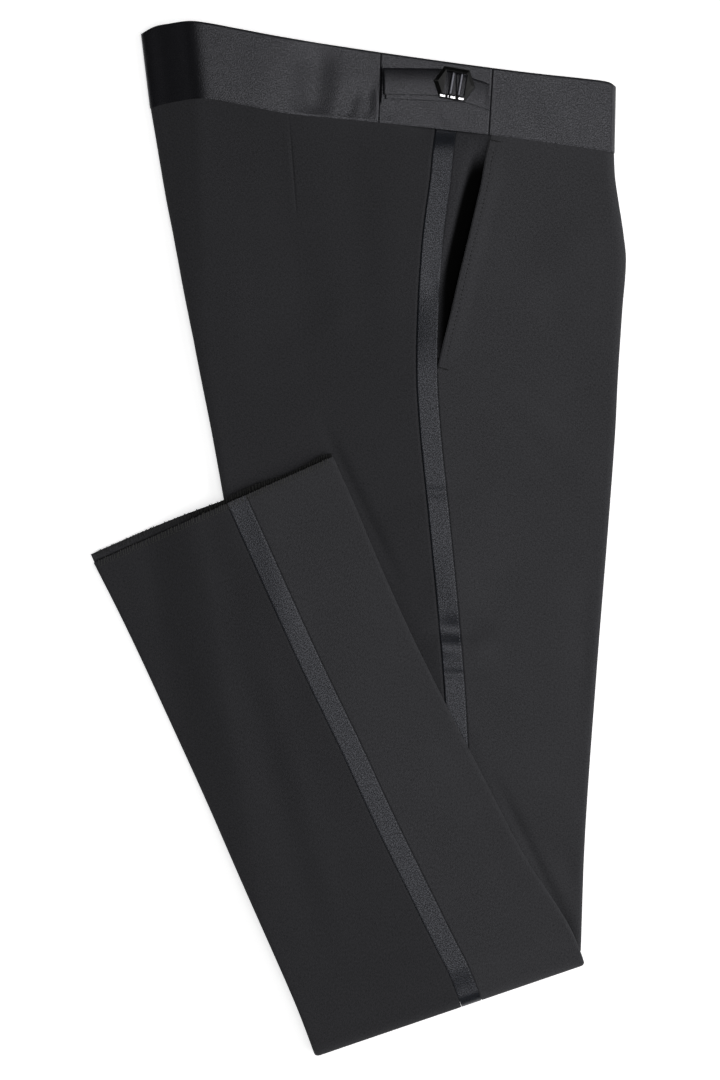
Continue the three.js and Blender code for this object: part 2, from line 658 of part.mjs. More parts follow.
const coreStations = [
  bandStation(0.5, false),
  bandStation(0.02, false),
  ...leftStations,
];
const hem = leftStations.at(-1);
const hemStepDepth = 2 * hem.backThick + SEAM_GAP + 0.25;
const coreRings = [
  ...coreStations.map((at) => coreRing(at)),
  coreRing(turnedUpStation(1, 0.3), hemStepDepth),
  coreRing(turnedUpStation(1, HEM_STEP), hemStepDepth),
];

const trousers = new THREE.Group();
trousers.add(
  wall('waistband_back_right', rightBand, bandBackColumns, -BAND_PROUD, BAND_CLOTH, satin),
  wall('waistband_side_right', rightBand, bandSideColumns, -BAND_PROUD, BAND_CLOTH, satin),
  wall('waistband_front_right', rightBand, bandFrontColumns, -BAND_PROUD, BAND_CLOTH, satin),
  wall('waistband_back_left', leftBand, bandBackColumns, 0, BAND_CLOTH, satin),
  wall('waistband_side_left', leftBand, bandSideColumns, 0, BAND_CLOTH, satin),
  wall('waistband_front_left', leftBand, bandFrontColumns, 0, BAND_CLOTH, satin),
  wall('back_right', rightStations, backColumns, 0, CLOTH, wool),
  wall('front_right', rightStations, frontColumns, 0, CLOTH, wool),
  wall('stripe_right', rightStations, stripeColumns, -STRIPE.proud, STRIPE.cloth, satin),
  wall('pocket_facing_right', rightFacingStations, rightFacingColumns, 0, FACING.cloth, facingCloth),
  wall('back_left', leftStations, backColumns, 0, CLOTH, wool),
  wall('front_left', leftStations, frontColumns, 0, CLOTH, wool),
  wall('stripe_left', leftStations, stripeColumns, 0, STRIPE.cloth - STRIPE.proud, satin),
  wall('pocket_facing_left', leftFacingStations, leftFacingColumns, 0, FACING.cloth, facingCloth),
  loft('inner_layers', coreRings, innerCloth),
  ...Object.keys(STRAPS).map((name) => strap(name, satin)),
  buckle(enamel),
);

export default trousers;
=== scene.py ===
"""Tuxedo trousers folded flat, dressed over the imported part.

Tables hold millimetres in the part's own frame, and every mesh is made in metres.
X runs from the back crease to the front crease, Y from the turn up to the waist, Z up.
"""
import math

import bpy
import numpy as np
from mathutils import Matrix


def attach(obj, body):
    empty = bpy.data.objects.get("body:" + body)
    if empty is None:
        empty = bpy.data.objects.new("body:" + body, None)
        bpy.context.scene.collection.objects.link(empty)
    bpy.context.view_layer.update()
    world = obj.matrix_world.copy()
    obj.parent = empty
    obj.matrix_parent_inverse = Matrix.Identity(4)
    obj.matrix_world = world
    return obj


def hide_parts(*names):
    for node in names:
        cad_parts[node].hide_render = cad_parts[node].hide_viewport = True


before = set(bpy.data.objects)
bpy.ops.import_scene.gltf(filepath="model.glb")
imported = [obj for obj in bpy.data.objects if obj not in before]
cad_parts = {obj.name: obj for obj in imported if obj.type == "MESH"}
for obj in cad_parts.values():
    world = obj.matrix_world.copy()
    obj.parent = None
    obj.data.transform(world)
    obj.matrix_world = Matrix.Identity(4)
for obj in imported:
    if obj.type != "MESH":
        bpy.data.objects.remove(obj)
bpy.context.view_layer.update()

MM = 0.001


def table(names, *rows):
    """Named columns from rows of numbers."""
    return dict(zip(names.split(), np.array(rows, float).T))


# Driving sizes of the cloth: thickness of each kind, and the gaps between layers and at seams
WOOL = 0.75
SATIN = 0.8
BAND = 2.3
LAYER_GAP = 0.35
SEAM_GAP = 0.3
# The side seam's hollow, and how much of it is left on the lower leg, which is pressed flatter
SEAM_HOLLOW = 0.55
STRIPE_HOLLOW = 0.4
LOWER_SEAM = 0.4
# The waistband stands this proud of the wool, and is this deep from its top to its seam
BAND_PROUD = 0.5
BAND_HIGH = 49.0
STRIPE_WIDTH = 15.0
# How far past level a crease's round curls under, in degrees
HOOK = 75.0
# Share of the leg over which the waist's bow dies out
BOW_FADE = 0.2
# Beyond the back crease the turned-up leg sinks to the table between these distances
DRAPE_FROM = 18.0
DRAPE_TO = 64.0
# Where the pocket ends down the leg, and where the stripe stops sagging into it
POCKET_END = 0.273
FACING_END = 0.262
SAG_FADE = (0.165, 0.2)
SAG_LEFT_OUT = 0.9

# The legs from the waist seam (down 0) to the axis of the turn (down 1).
# back_x and front_x are the creases, seam is the side seam's distance from the back crease.
LEGS = table(
    "down back_x front_x seam",
    (0.00, -150.5, 184.0, 206.4),
    (0.03, -147.0, 184.8, 200.4),
    (0.06, -143.6, 187.2, 195.0),
    (0.10, -138.9, 190.7, 186.6),
    (0.135, -134.2, 192.6, 179.3),
    (0.20, -126.1, 189.7, 168.3),
    (0.28, -115.2, 186.6, 156.3),
    (0.35, -105.8, 184.6, 149.5),
    (0.45, -93.9, 180.4, 144.1),
    (0.65, -72.2, 171.2, 134.6),
    (0.85, -50.5, 163.0, 120.7),
    (1.00, -34.2, 159.8, 111.1),
)

# The stack of both legs: its height at each crease, its rise between them, how far in
# from each crease the cloth rounds over, the share of the height below the back crease,
# how straight the back slope is, and split, 1 where each leg has a crease of its own.
STACK = table(
    "down back_top front_top crown back_roll front_roll low bevel split",
    (0.00, 19.0, 9.0, 0.6, 38.0, 7.0, 0.22, 0.65, 0.0),
    (0.03, 18.6, 9.6, 1.2, 36.0, 7.5, 0.24, 0.60, 0.0),
    (0.06, 18.0, 10.2, 1.8, 33.0, 8.0, 0.27, 0.52, 0.0),
    (0.10, 17.2, 11.0, 2.4, 29.0, 8.5, 0.32, 0.42, 0.0),
    (0.135, 16.4, 11.4, 2.8, 25.5, 8.0, 0.37, 0.32, 0.05),
    (0.20, 14.8, 11.6, 3.0, 18.5, 6.5, 0.45, 0.16, 0.4),
    (0.28, 13.0, 11.5, 2.8, 11.0, 5.2, 0.50, 0.0, 0.9),
    (0.35, 12.2, 11.4, 2.4, 6.5, 4.6, 0.50, 0.0, 1.0),
    (0.45, 11.6, 11.2, 1.8, 5.2, 4.2, 0.50, 0.0, 1.0),
    (0.65, 11.2, 11.0, 1.0, 4.6, 4.0, 0.50, 0.0, 1.0),
    (0.85, 11.0, 11.0, 0.3, 4.4, 4.0, 0.50, 0.0, 1.0),
    (1.00, 11.0, 11.0, 0.0, 4.2, 4.0, 0.50, 0.0, 1.0),
)
LOW_ROLL_MOST = 9.0
BACK_Y = (310.7, -364.6)
FRONT_Y = (278.3, -298.4)

# The turned-up legs from the axis of the turn (up 0) to the hem (up 1)
TURN_UPS = table(
    "up back_x front_x seam",
    (0.00, -34.2, 159.8, 111.1),
    (0.05, -40.6, 152.2, 110.5),
    (0.10, -47.6, 141.6, 108.7),
    (0.20, -62.8, 118.3, 106.7),
    (0.35, -86.1, 90.5, 104.6),
    (0.50, -109.2, 62.9, 103.6),
    (0.65, -133.2, 36.4, 102.5),
    (0.80, -157.2, 12.4, 102.6),
    (0.90, -173.9, -2.6, 103.6),
    (1.00, -191.5, -18.7, 105.4),
)
HEM_BACK_Y = -17.6
HEM_FRONT_Y = 58.7
TURNED_THICK = (7.0, 6.2)
TURNED_ROLLS = (3.2, 2.8)

# The slanted pocket's edge ahead of the side seam, and how far the opening sags
POCKET = table(
    "down ahead dip lift",
    (0.00, 39.6, 0.6, 0.0),
    (0.012, 38.9, 1.3, 0.3),
    (0.04, 37.6, 4.8, 1.2),
    (0.07, 36.2, 7.6, 1.9),
    (0.12, 33.0, 8.2, 2.1),
    (0.17, 28.0, 7.8, 1.9),
    (0.21, 23.7, 6.4, 1.5),
    (0.25, 18.4, 4.2, 0.9),
    (0.273, 15.4, 1.2, 0.2),
)

# How far the upper stripe leans to the back across its width
STRIPE_LEAN = table(
    "down lean",
    (0.00, 0.2),
    (0.05, 0.3),
    (0.12, 0.5),
    (0.16, 0.7),
    (0.195, 2.2),
    (0.235, 2.8),
    (0.26, 2.0),
    (0.29, 0.8),
    (0.42, 0.8),
    (0.50, 0.4),
    (0.56, 0.6),
    (0.65, 0.6),
    (1.00, 0.0),
)

# The dart in the seat: its distance from the back crease and how strongly it shows
DART = table(
    "down across depth",
    (0.00, 100.3, 0.15),
    (0.02, 99.0, 0.25),
    (0.042, 97.6, 0.55),
    (0.075, 95.5, 0.5),
    (0.10, 93.7, 0.3),
    (0.117, 92.3, 0.0),
    (0.30, 80.0, 0.0),
    (1.00, 60.0, 0.0),
)

# How far the waist seam and the waistband's top edge bow up from a straight line
BAND_BOW = table(
    "across low top",
    (0.00, 0.0, 3.6),
    (0.03, 3.2, 9.4),
    (0.06, 5.8, 11.8),
    (0.10, 8.4, 14.4),
    (0.14, 9.2, 14.2),
    (0.20, 7.2, 12.4),
    (0.30, 4.2, 9.4),
    (0.45, 4.4, 6.4),
    (0.60, 4.4, 4.3),
    (0.80, 3.4, 2.3),
    (0.95, 1.2, 1.8),
    (0.985, 0.4, 1.1),
    (1.00, 0.0, -1.4),
)
BAND_BACK_TOP = (-157.0, 360.4)
BAND_FRONT_TOP = (185.0, 327.2)
SIDE_FROM = (165.0, 173.2)
SIDE_TO = (244.6, 254.1)

# The adjuster's straps: corners on the plan, and how far above the waistband they lie
STRAPS = {
    "adjuster_strap_tail": {
        "top": ((18.3, 335.2), (67.0, 333.7)),
        "low": ((18.3, 315.9), (67.0, 313.9)),
        "depth": -1.6,
        "cloth": 0.7,
        "lean": 1.7,
    },
    "adjuster_strap_back": {
        "top": ((16.6, 338.0), (67.0, 337.7)),
        "low": ((17.0, 318.8), (67.0, 317.9)),
        "depth": -2.9,
        "cloth": 0.9,
        "lean": 1.7,
    },
    "adjuster_strap_front": {
        "top": ((69.5, 335.2), (94.0, 327.2)),
        "low": ((69.5, 315.4), (94.0, 308.0)),
        "depth": -1.6,
        "cloth": 1.4,
        "lean": 0.7,
    },
}
BUCKLE = {
    "centre": (68.5, 326.5),
    "tilt": -9.5,
    "depth": -3.45,
    "plate": 2.0,
    "half_width": 15.0,
    "half_height": 11.4,
    "shoulder": 9.2,
    "window": (-6.9, 8.0, 8.3),
    "bars": (-2.05, 4.05),
}

# Soft folds laid one by one: from one place to another on the plan, with half width and height
UPPER_FOLDS = table(
    "x0 y0 x1 y1 wide high",
    (-60.0, 285.0, -30.0, 120.0, 16.0, -1.0),
    (-95.0, 240.0, -80.0, 80.0, 14.0, 0.7),
    (-10.0, 300.0, 5.0, 150.0, 14.0, -0.8),
    (20.0, 280.0, 25.0, 120.0, 12.0, 0.6),
    (-75.0, 110.0, 20.0, 190.0, 10.0, 0.5),
    (100.0, 215.0, 150.0, 175.0, 14.0, -0.8),
    (110.0, 160.0, 170.0, 225.0, 18.0, 0.9),
    (100.0, 110.0, 175.0, 40.0, 10.0, 0.6),
    (85.0, 130.0, 165.0, 75.0, 6.0, -0.35),
    (95.0, 105.0, 160.0, 20.0, 6.0, -0.3),
    (80.0, -85.0, 70.0, -60.0, 12.0, -1.1),
    (72.0, -50.0, 68.0, -5.0, 12.0, 0.8),
    (160.0, -20.0, 162.0, -130.0, 12.0, -0.8),
    (118.0, -147.5, 175.0, -150.5, 1.6, 0.35),
    (90.0, -185.0, 165.0, -250.0, 12.0, -1.4),
    (110.0, -170.0, 170.0, -205.0, 10.0, 0.6),
    (34.0, 295.5, 92.0, 293.5, 9.0, -3.4),
    (-25.0, 80.0, 30.0, -33.0, 4.5, -1.6),
    (98.0, -172.0, 182.0, -347.0, 4.5, -1.6),
    (50.0, -64.0, 96.0, -66.0, 8.0, -1.9),
    (50.0, -78.0, 96.0, -80.0, 8.0, 1.8),
    (50.0, -97.0, 96.0, -98.5, 3.4, -0.8),
    (36.0, 34.0, 82.0, 32.0, 3.4, -1.0),
    (45.0, -34.0, 92.0, -38.0, 16.0, 0.7),
    (40.0, 180.0, 66.0, 178.0, 14.0, -0.6),
)
BAND_FOLDS = table(
    "x0 y0 x1 y1 wide high",
    (-29.0, 356.0, -34.0, 298.0, 14.0, -2.3),
    (-11.0, 298.0, 0.0, 327.0, 6.5, -1.1),
    (7.0, 324.0, 5.0, 300.0, 3.8, -0.7),
    (13.0, 330.0, 13.5, 300.0, 2.2, 0.3),
    (-60.0, 362.0, -72.0, 300.0, 12.0, 0.25),
    (104.0, 330.0, 100.0, 285.0, 7.0, 0.2),
    (128.0, 335.0, 150.0, 285.0, 12.0, -0.3),
    (60.0, 312.0, 64.0, 296.0, 3.0, -0.35),
    (25.0, 312.0, 21.0, 300.0, 5.0, -0.3),
)
LOWER_FOLDS = table(
    "x0 y0 x1 y1 wide high",
    (-120.0, 25.0, -80.0, -60.0, 12.0, -0.9),
    (-75.0, 45.0, -45.0, -80.0, 12.0, 0.8),
    (-100.0, -40.0, -30.0, -290.0, 13.0, -1.0),
    (-75.0, -60.0, -10.0, -300.0, 11.0, 0.9),
    (-130.0, -50.0, -60.0, -230.0, 12.0, 0.6),
    (20.0, 30.0, 80.0, -120.0, 14.0, 0.5),
    (60.0, -110.0, 120.0, -260.0, 16.0, -0.5),
)


def mix(a, b, share):
    """Straight mix of two values: a at share 0, b at share 1."""
    return a + (b - a) * share


def smooth(x, low, high):
    """Goes from 0 to 1 between low and high on a soft S curve."""
    t = np.clip((x - low) / (high - low), 0.0, 1.0)
    return t * t * (3.0 - 2.0 * t)


def read(rows, key, column, at):
    """Smooth curve through a table: cubic pieces, each row's slope taken from its neighbours."""
    x, y = rows[key], rows[column]
    at = np.clip(at, x[0], x[-1])
    slope = np.empty(len(x))
    slope[1:-1] = (y[2:] - y[:-2]) / (x[2:] - x[:-2])
    slope[0] = (y[1] - y[0]) / (x[1] - x[0])
    slope[-1] = (y[-1] - y[-2]) / (x[-1] - x[-2])
    i = np.clip(np.searchsorted(x, at, side="right") - 1, 0, len(x) - 2)
    step = x[i + 1] - x[i]
    t = (at - x[i]) / step
    start = (2 * t**3 - 3 * t**2 + 1) * y[i] + (t**3 - 2 * t**2 + t) * step * slope[i]
    return start + (3 * t**2 - 2 * t**3) * y[i + 1] + (t**3 - t**2) * step * slope[i + 1]


def line_across(back_x, back_y, front_x, front_y):
    """Straight lines across the plan, from the back crease to the front crease."""
    width = np.hypot(front_x - back_x, front_y - back_y)
    ax = (front_x - back_x) / width
    ay = (front_y - back_y) / width
    return {"bx": back_x, "by": back_y, "ax": ax, "ay": ay, "width": width}


def leg_line(down):
    """Lines across the leg: both creases read from the table, their heights mixed straight."""
    back_x = read(LEGS, "down", "back_x", down)
    front_x = read(LEGS, "down", "front_x", down)
    return line_across(back_x, mix(*BACK_Y, down), front_x, mix(*FRONT_Y, down))


def leg_top(down, width, across):
    """Height of the upper leg: from the back's to the front's height on an S, plus a crown."""
    back_roll = read(STACK, "down", "back_roll", down)
    front_roll = read(STACK, "down", "front_roll", down)
    share = np.clip((across - back_roll) / (width - back_roll - front_roll), 0.0, 1.0)
    base = mix(
        read(STACK, "down", "back_top", down),
        read(STACK, "down", "front_top", down),
        smooth(share, 0.0, 1.0),
    )
    return base + read(STACK, "down", "crown", down) * np.sin(math.pi * share) ** 2


def resting_height(x, y):
    """Height of what the turned-up legs lie on, found by halving, easing down beyond the crease."""
    above = np.zeros_like(x)
    below = np.full_like(x, 1.05)
    for _ in range(26):
        middle = (above + below) / 2
        line = leg_line(middle)
        side = line["ax"] * (y - line["by"]) - line["ay"] * (x - line["bx"])
        below = np.where(side > 0, middle, below)
        above = np.where(side > 0, above, middle)
    down = (above + below) / 2
    line = leg_line(down)
    across = line["ax"] * (x - line["bx"]) + line["ay"] * (y - line["by"])
    held = leg_top(np.minimum(down, 1.0), line["width"], across) + LAYER_GAP
    return held * (1.0 - smooth(-across, DRAPE_FROM, DRAPE_TO))


def fold_height(folds, x, y):
    """Sum of soft ridges and troughs: a bell across each fold's line, faded at its two ends."""
    total = np.zeros(np.broadcast(x, y).shape)
    for x0, y0, x1, y1, wide, high in zip(*(folds[k] for k in folds)):
        length = math.hypot(x1 - x0, y1 - y0)
        ux, uy = (x1 - x0) / length, (y1 - y0) / length
        along = (x - x0) * ux + (y - y0) * uy
        off = (x - x0) * uy - (y - y0) * ux
        fade = max(0.3 * length, wide)
        ends = smooth(along, -fade * 0.5, fade) * smooth(length - along, -fade * 0.5, fade)
        total += high * ends * np.exp(-((off / wide) ** 2))
    return total


# Stations: lines across the cloth, with what the columns need to know about each
def roll_facts(down, upper):
    """Size of the round at each crease: its share of the stack's height, less for its curl."""
    split = read(STACK, "down", "split", down)
    low = read(STACK, "down", "low", down)
    share = 1.0 - low if upper else low
    curl = 1.0 + np.sin(np.radians(HOOK * split))
    back_top = read(STACK, "down", "back_top", down)
    front_top = read(STACK, "down", "front_top", down)
    back_roll = read(STACK, "down", "back_roll", down)
    bevel = read(STACK, "down", "bevel", down)
    return {
        "back_roll": back_roll if upper else np.minimum(back_roll, LOW_ROLL_MOST),
        "front_roll": read(STACK, "down", "front_roll", down),
        "back_thick": (back_top * share - SEAM_GAP / 2) / curl,
        "front_thick": (front_top / 2 - SEAM_GAP / 2) / curl,
        "bevel": bevel if upper else 0.0 * bevel,
        "hook": -HOOK * split,
    }


def leg_stations(down, upper):
    """Lines across one side of the leg, from the waist seam to the turn."""
    down = np.asarray(down, float)[:, None]
    at = leg_line(down)
    at.update(roll_facts(down, upper))
    at["down"] = down
    at["rise"] = 0.0
    at["seam"] = read(LEGS, "down", "seam", down)
    at["pocket"] = at["seam"] + read(POCKET, "down", "ahead", down)
    return at


def band_line(rise):
    """Lines across the waistband: straight mixes from the waist seam's ends to the top edge's."""
    return line_across(
        mix(LEGS["back_x"][0], BAND_BACK_TOP[0], rise),
        mix(BACK_Y[0], BAND_BACK_TOP[1], rise),
        mix(LEGS["front_x"][0], BAND_FRONT_TOP[0], rise),
        mix(FRONT_Y[0], BAND_FRONT_TOP[1], rise),
    )


def band_stations(rise, upper):
    """Lines across one side of the waistband, from its seam (rise 0) to its top edge (rise 1)."""
    rise = np.asarray(rise, float)[:, None]
    at = band_line(rise)
    at.update(roll_facts(0.0 * rise, upper))
    at["slot"] = upper
    if upper:
        at["back_roll"] = at["back_roll"] + 7.0
        at["front_roll"] = 0.0 * rise + 3.0
    at["down"] = 0.0 * rise
    at["rise"] = rise
    at["side_from"] = mix(*SIDE_FROM, rise)
    at["side_to"] = mix(*SIDE_TO, rise)
    return at


def turned_stations(up, beyond=0.0):
    """Lines across the turned-up leg, moved on past the last one by beyond."""
    up = np.asarray(up, float)[:, None]
    at = line_across(
        read(TURN_UPS, "up", "back_x", up),
        mix(BACK_Y[1], HEM_BACK_Y, up),
        read(TURN_UPS, "up", "front_x", up),
        mix(FRONT_Y[1], HEM_FRONT_Y, up),
    )
    thick = mix(*TURNED_THICK, up)
    half = (thick / 2 - SEAM_GAP / 2) / (1.0 + math.sin(math.radians(HOOK)))
    at.update(back_roll=TURNED_ROLLS[0] + 0 * up, front_roll=TURNED_ROLLS[1] + 0 * up)
    at.update(back_thick=half, front_thick=half, hook=-HOOK + 0 * up, bevel=0 * up)
    at.update(up=up, thick=thick, beyond=beyond, down=1.0 + 0 * up)
    at["seam"] = read(TURN_UPS, "up", "seam", up)
    return at


TURN_RADIUS = (STACK["back_top"][-1] + LAYER_GAP + TURNED_THICK[0]) / 2
# The iron presses the turn's top this much lower than a true half circle
TURN_DROP = 1.8


def turn_stations(angle):
    """Stations round the turn: angle is -90 on the underside and 90 on top."""
    angle = np.asarray(angle, float)[:, None]
    share = (angle + 90.0) / 180.0
    one = np.ones_like(share)
    at = {k: v * one for k, v in leg_line(one).items()}
    below = roll_facts(one, False)
    above = turned_stations([0.0])
    for key in ("back_roll", "front_roll", "back_thick", "front_thick", "hook"):
        at[key] = mix(below[key], above[key], share)
    at.update(bevel=0 * share, angle=np.radians(angle), down=one)
    at["seam"] = LEGS["seam"][-1] * one
    return at


# Places: from a distance in from the back crease and a depth to a point
def on_plan(at, across):
    """Plan place: along the station's line, bowed up near the waist."""
    share = np.clip(across / at["width"], 0.0, 1.0)
    low = read(BAND_BOW, "across", "low", share)
    top = read(BAND_BOW, "across", "top", share)
    bow = mix(low, top, at["rise"]) * (1.0 - smooth(at["down"], 0.0, BOW_FADE))
    return at["bx"] + at["ax"] * across, at["by"] + at["ay"] * across + bow


def place_upper(at, across, depth):
    """On the upper leg or waistband: its top less the depth, plus the folds away from creases."""
    x, y = on_plan(at, across)
    inland = smooth(across, 2.0, 22.0) * smooth(at["width"] - across, 1.0, 12.0)
    folds = fold_height(BAND_FOLDS if np.ndim(at["rise"]) else UPPER_FOLDS, x, y)
    z = leg_top(at["down"], at["width"], across) - depth + folds * inland
    return np.stack(np.broadcast_arrays(x, y, z), axis=-1)


def place_under(at, across, depth):
    """On the underside: flat on the table, with the depth going up."""
    x, y = on_plan(at, across)
    return np.stack(np.broadcast_arrays(x, y, np.maximum(depth, 0.0)), axis=-1)


def place_turn(at, across, depth):
    """Half circle about the turn's axis, its radius less by the depth, its top pressed down."""
    reach = TURN_RADIUS - depth
    out = reach * np.cos(at["angle"])
    x = at["bx"] + at["ax"] * across + at["ay"] * out
    y = at["by"] + at["ay"] * across - at["ax"] * out
    near_top = np.clip(1.0 - depth / TURNED_THICK[0], 0.0, 1.0)
    pressed = TURN_DROP * np.maximum(np.sin(at["angle"]), 0.0) * near_top
    z = TURN_RADIUS + reach * np.sin(at["angle"]) - pressed
    return np.stack(np.broadcast_arrays(x, y, z), axis=-1)


def place_turned(at, across, depth):
    """On the turned-up leg: what it rests on, plus its thickness and folds, less the depth."""
    beyond = at["beyond"]
    x = at["bx"] + at["ax"] * across - at["ay"] * beyond
    y = at["by"] + at["ay"] * across + at["ax"] * beyond
    x, y, depth = np.broadcast_arrays(x, y, depth)
    inland = smooth(across, 3.0, 20.0) * smooth(at["width"] - across, 3.0, 20.0)
    folds = fold_height(LOWER_FOLDS, x, y) * inland * smooth(at["up"], 0.0, 0.12)
    near_top = np.clip(1.0 - depth / at["thick"], 0.0, 1.0)
    pressed = TURN_DROP * (1.0 - smooth(at["up"], 0.0, 0.055)) * near_top
    z = resting_height(x, y) + at["thick"] - depth + folds - pressed
    return np.stack((x, y, z), axis=-1)


# Columns: places across the cloth, as a distance in from the back crease and a depth
def back_roll(at, depth, count=16):
    """A quarter ellipse or more round the crease, mixed with a straight slope by bevel."""
    t = np.linspace(0.0, 1.0, count)
    angle = np.radians(mix(at["hook"], 90.0, t))
    roll, thick = at["back_roll"], at["back_thick"]
    across = roll - (roll - depth) * np.cos(angle)
    deep = thick - (thick - depth) * np.sin(angle)
    slope = np.hypot(roll, thick)
    straight = at["bevel"] * smooth(t, 0.0, 0.4) * (1.0 - 0.85 * smooth(t, 0.72, 1.0))
    across = mix(across, roll * t + depth * thick / slope, straight)
    deep = mix(deep, thick * (1.0 - t) + depth * roll / slope, straight)
    return across, np.minimum(deep, thick)


def front_roll(at, depth, count=12):
    """A quarter ellipse or more round the front crease."""
    t = np.linspace(1.0, 0.0, count)
    angle = np.radians(mix(at["hook"], 90.0, t))
    roll, thick = at["front_roll"], at["front_thick"]
    across = at["width"] - roll + (roll - depth) * np.cos(angle)
    return across, thick - (thick - depth) * np.sin(angle)


def spread(*stops):
    """Distances across, evenly spread between anchors: anchor, count, anchor, count, anchor."""
    parts = []
    for i in range(0, len(stops) - 2, 2):
        share = np.linspace(0.0, 1.0, stops[i + 1], endpoint=False)
        parts.append(mix(stops[i], stops[i + 2], share))
    parts.append(stops[-1] + np.zeros((parts[0].shape[0], 1)))
    return np.concatenate(parts, axis=1)


def lip(distance, deep, wide):
    """Extra depth where cloth turns down into a seam."""
    return deep * (1.0 - smooth(distance, 0.0, wide))


def join(*columns):
    """Sets of columns side by side."""
    rows = max(c[0].shape[0] for c in columns)
    wide = [np.broadcast_to(c[0], (rows, c[0].shape[1])) for c in columns]
    deep = [np.broadcast_to(c[1], (rows, c[0].shape[1])) for c in columns]
    return np.concatenate(wide, axis=1), np.concatenate(deep, axis=1)


def back_columns(at, depth):
    """Back panel: rolled crease, the dart's groove with a faint ridge, and the seam's turned edge."""
    flat_from = at["back_roll"] + 2.5
    dart = read(DART, "down", "across", at["down"])
    edge = at["seam"] - SEAM_GAP / 2
    across = spread(
        flat_from, 20, dart - 4.0, 6, dart - 1.0, 8, dart + 1.0, 6, dart + 4.0, 30,
        edge - 6.0, 6, edge - 2.0, 8, edge,
    )
    from_dart = across - dart
    strong = read(DART, "down", "depth", at["down"])
    groove = strong * np.exp(-((from_dart / 0.7) ** 2))
    ridge = 0.35 * strong * np.exp(-(((from_dart + 3.0) / 2.2) ** 2))
    turned = SEAM_HOLLOW if "pocket" in at else SEAM_HOLLOW * LOWER_SEAM
    deep = depth + groove - ridge + lip(edge - across, turned, 1.8)
    return join(back_roll(at, depth), (across, deep))


def dip_share(at, across):
    """How much of the pocket's sag reaches a place: a slow start, then a steep side to its bed."""
    share = np.clip((across - at["seam"] - 3.0) / (at["pocket"] - at["seam"] - 3.0), 0.0, 1.0)
    steep = smooth(across - at["pocket"], -16.0, -6.0) * smooth(across - at["seam"], 0.0, 13.0)
    gentle = mix(0.25, 0.8, smooth(at["down"], 0.1, 0.2))
    return gentle * share**1.5 + (1.0 - gentle) * steep


def pocket_dip(at, across):
    """Sag towards the open pocket: the table's dip times the share that reaches this place."""
    open_part = 1.0 - smooth(at["down"], POCKET_END - 0.004, POCKET_END + 0.03)
    return read(POCKET, "down", "dip", at["down"]) * dip_share(at, across) * open_part


def front_columns(at, depth):
    """Front panel: from the pocket's edge, or from under the stripe, to the rolled crease."""
    opened = smooth(at["down"], POCKET_END, POCKET_END + 0.008)
    edge = mix(at["pocket"] + SEAM_GAP / 2, at["seam"] + STRIPE_WIDTH - 2.0, opened)
    flat_to = at["width"] - at["front_roll"] - 1.5
    across = spread(edge, 6, edge + 1.2, 6, edge + 4.0, 6, edge + 8.0, 60, flat_to)
    under = opened * lip(across - at["seam"] - STRIPE_WIDTH - 0.1, 0.85, 0.7)
    round_over = (1.0 - opened) * lip(across - edge, 0.7, 1.0)
    lifted = read(POCKET, "down", "lift", at["down"]) * (1.0 - opened)
    lift = lifted * (1.0 - smooth(across - edge, 2.0, 16.0))
    stitch = 0.18 * (1.0 - opened) * np.exp(-(((across - edge - 5.0) / 0.9) ** 2))
    return join((across, depth + under + round_over + stitch - lift), front_roll(at, depth))


def stripe_columns(at, depth):
    """Satin stripe: its left edge turns into the side seam, its right edge is a folded edge."""
    left = at["seam"] + SEAM_GAP / 2
    right = at["seam"] + STRIPE_WIDTH
    across = spread(left, 6, left + 1.6, 14, right - 1.6, 6, right)
    return across, depth + stripe_deep(at, across)


def stripe_deep(at, across):
    """The stripe's own relief: both edges turn down, it sags into the pocket and leans back."""
    left = at["seam"] + SEAM_GAP / 2
    right = at["seam"] + STRIPE_WIDTH
    pressed = 1.0 if "pocket" in at else LOWER_SEAM
    deep = lip(across - left, STRIPE_HOLLOW * pressed, 0.9) + lip(right - across, 0.1, 0.6)
    if "pocket" in at:
        lean = read(STRIPE_LEAN, "down", "lean", at["down"])
        share = (across - left) / STRIPE_WIDTH
        sagging = 1.0 - SAG_LEFT_OUT * smooth(at["down"], *SAG_FADE)
        deep = deep + pocket_dip(at, across) * sagging + lean * (0.5 - share)
    return deep


def facing_columns(at, depth):
    """Pocket facing: under the stripe's edge, then sagging to pass below the pocket's edge."""
    left = at["seam"] + STRIPE_WIDTH - 3.0
    right = at["pocket"] + 11.0
    stripe_end = at["seam"] + STRIPE_WIDTH
    across = spread(left, 8, stripe_end + 1.0, 22, at["pocket"], 10, right)
    sunk = 0.35 + lip(across - stripe_end, 0.55, 0.7)
    dip = read(POCKET, "down", "dip", at["down"]) * np.clip(dip_share(at, across), 0.0, 1.0)
    return across, depth + sunk + dip


def band_edge(at):
    """Depth by which the waistband's folded top edge and its lower seam edge round over."""
    if np.ndim(at["rise"]) == 0:
        return 0.0
    high = at["rise"] * BAND_HIGH
    return lip(high - 0.1, 0.3, 0.5) + lip(BAND_HIGH - high, 0.4, 1.1)


def band_back_columns(at, depth):
    """Waistband, back length: rolled crease, then flat to an edge turned into the side seam."""
    edge = at["side_from"]
    across = spread(at["back_roll"] + 2.5, 60, edge - 6.0, 6, edge - 2.0, 8, edge)
    deep = depth + lip(edge - across, 0.5, 1.2) + band_edge(at)
    roll = back_roll(at, depth, 24)
    return join((roll[0], roll[1] + band_edge(at) * np.linspace(0.3, 1.0, 24)), (across, deep))


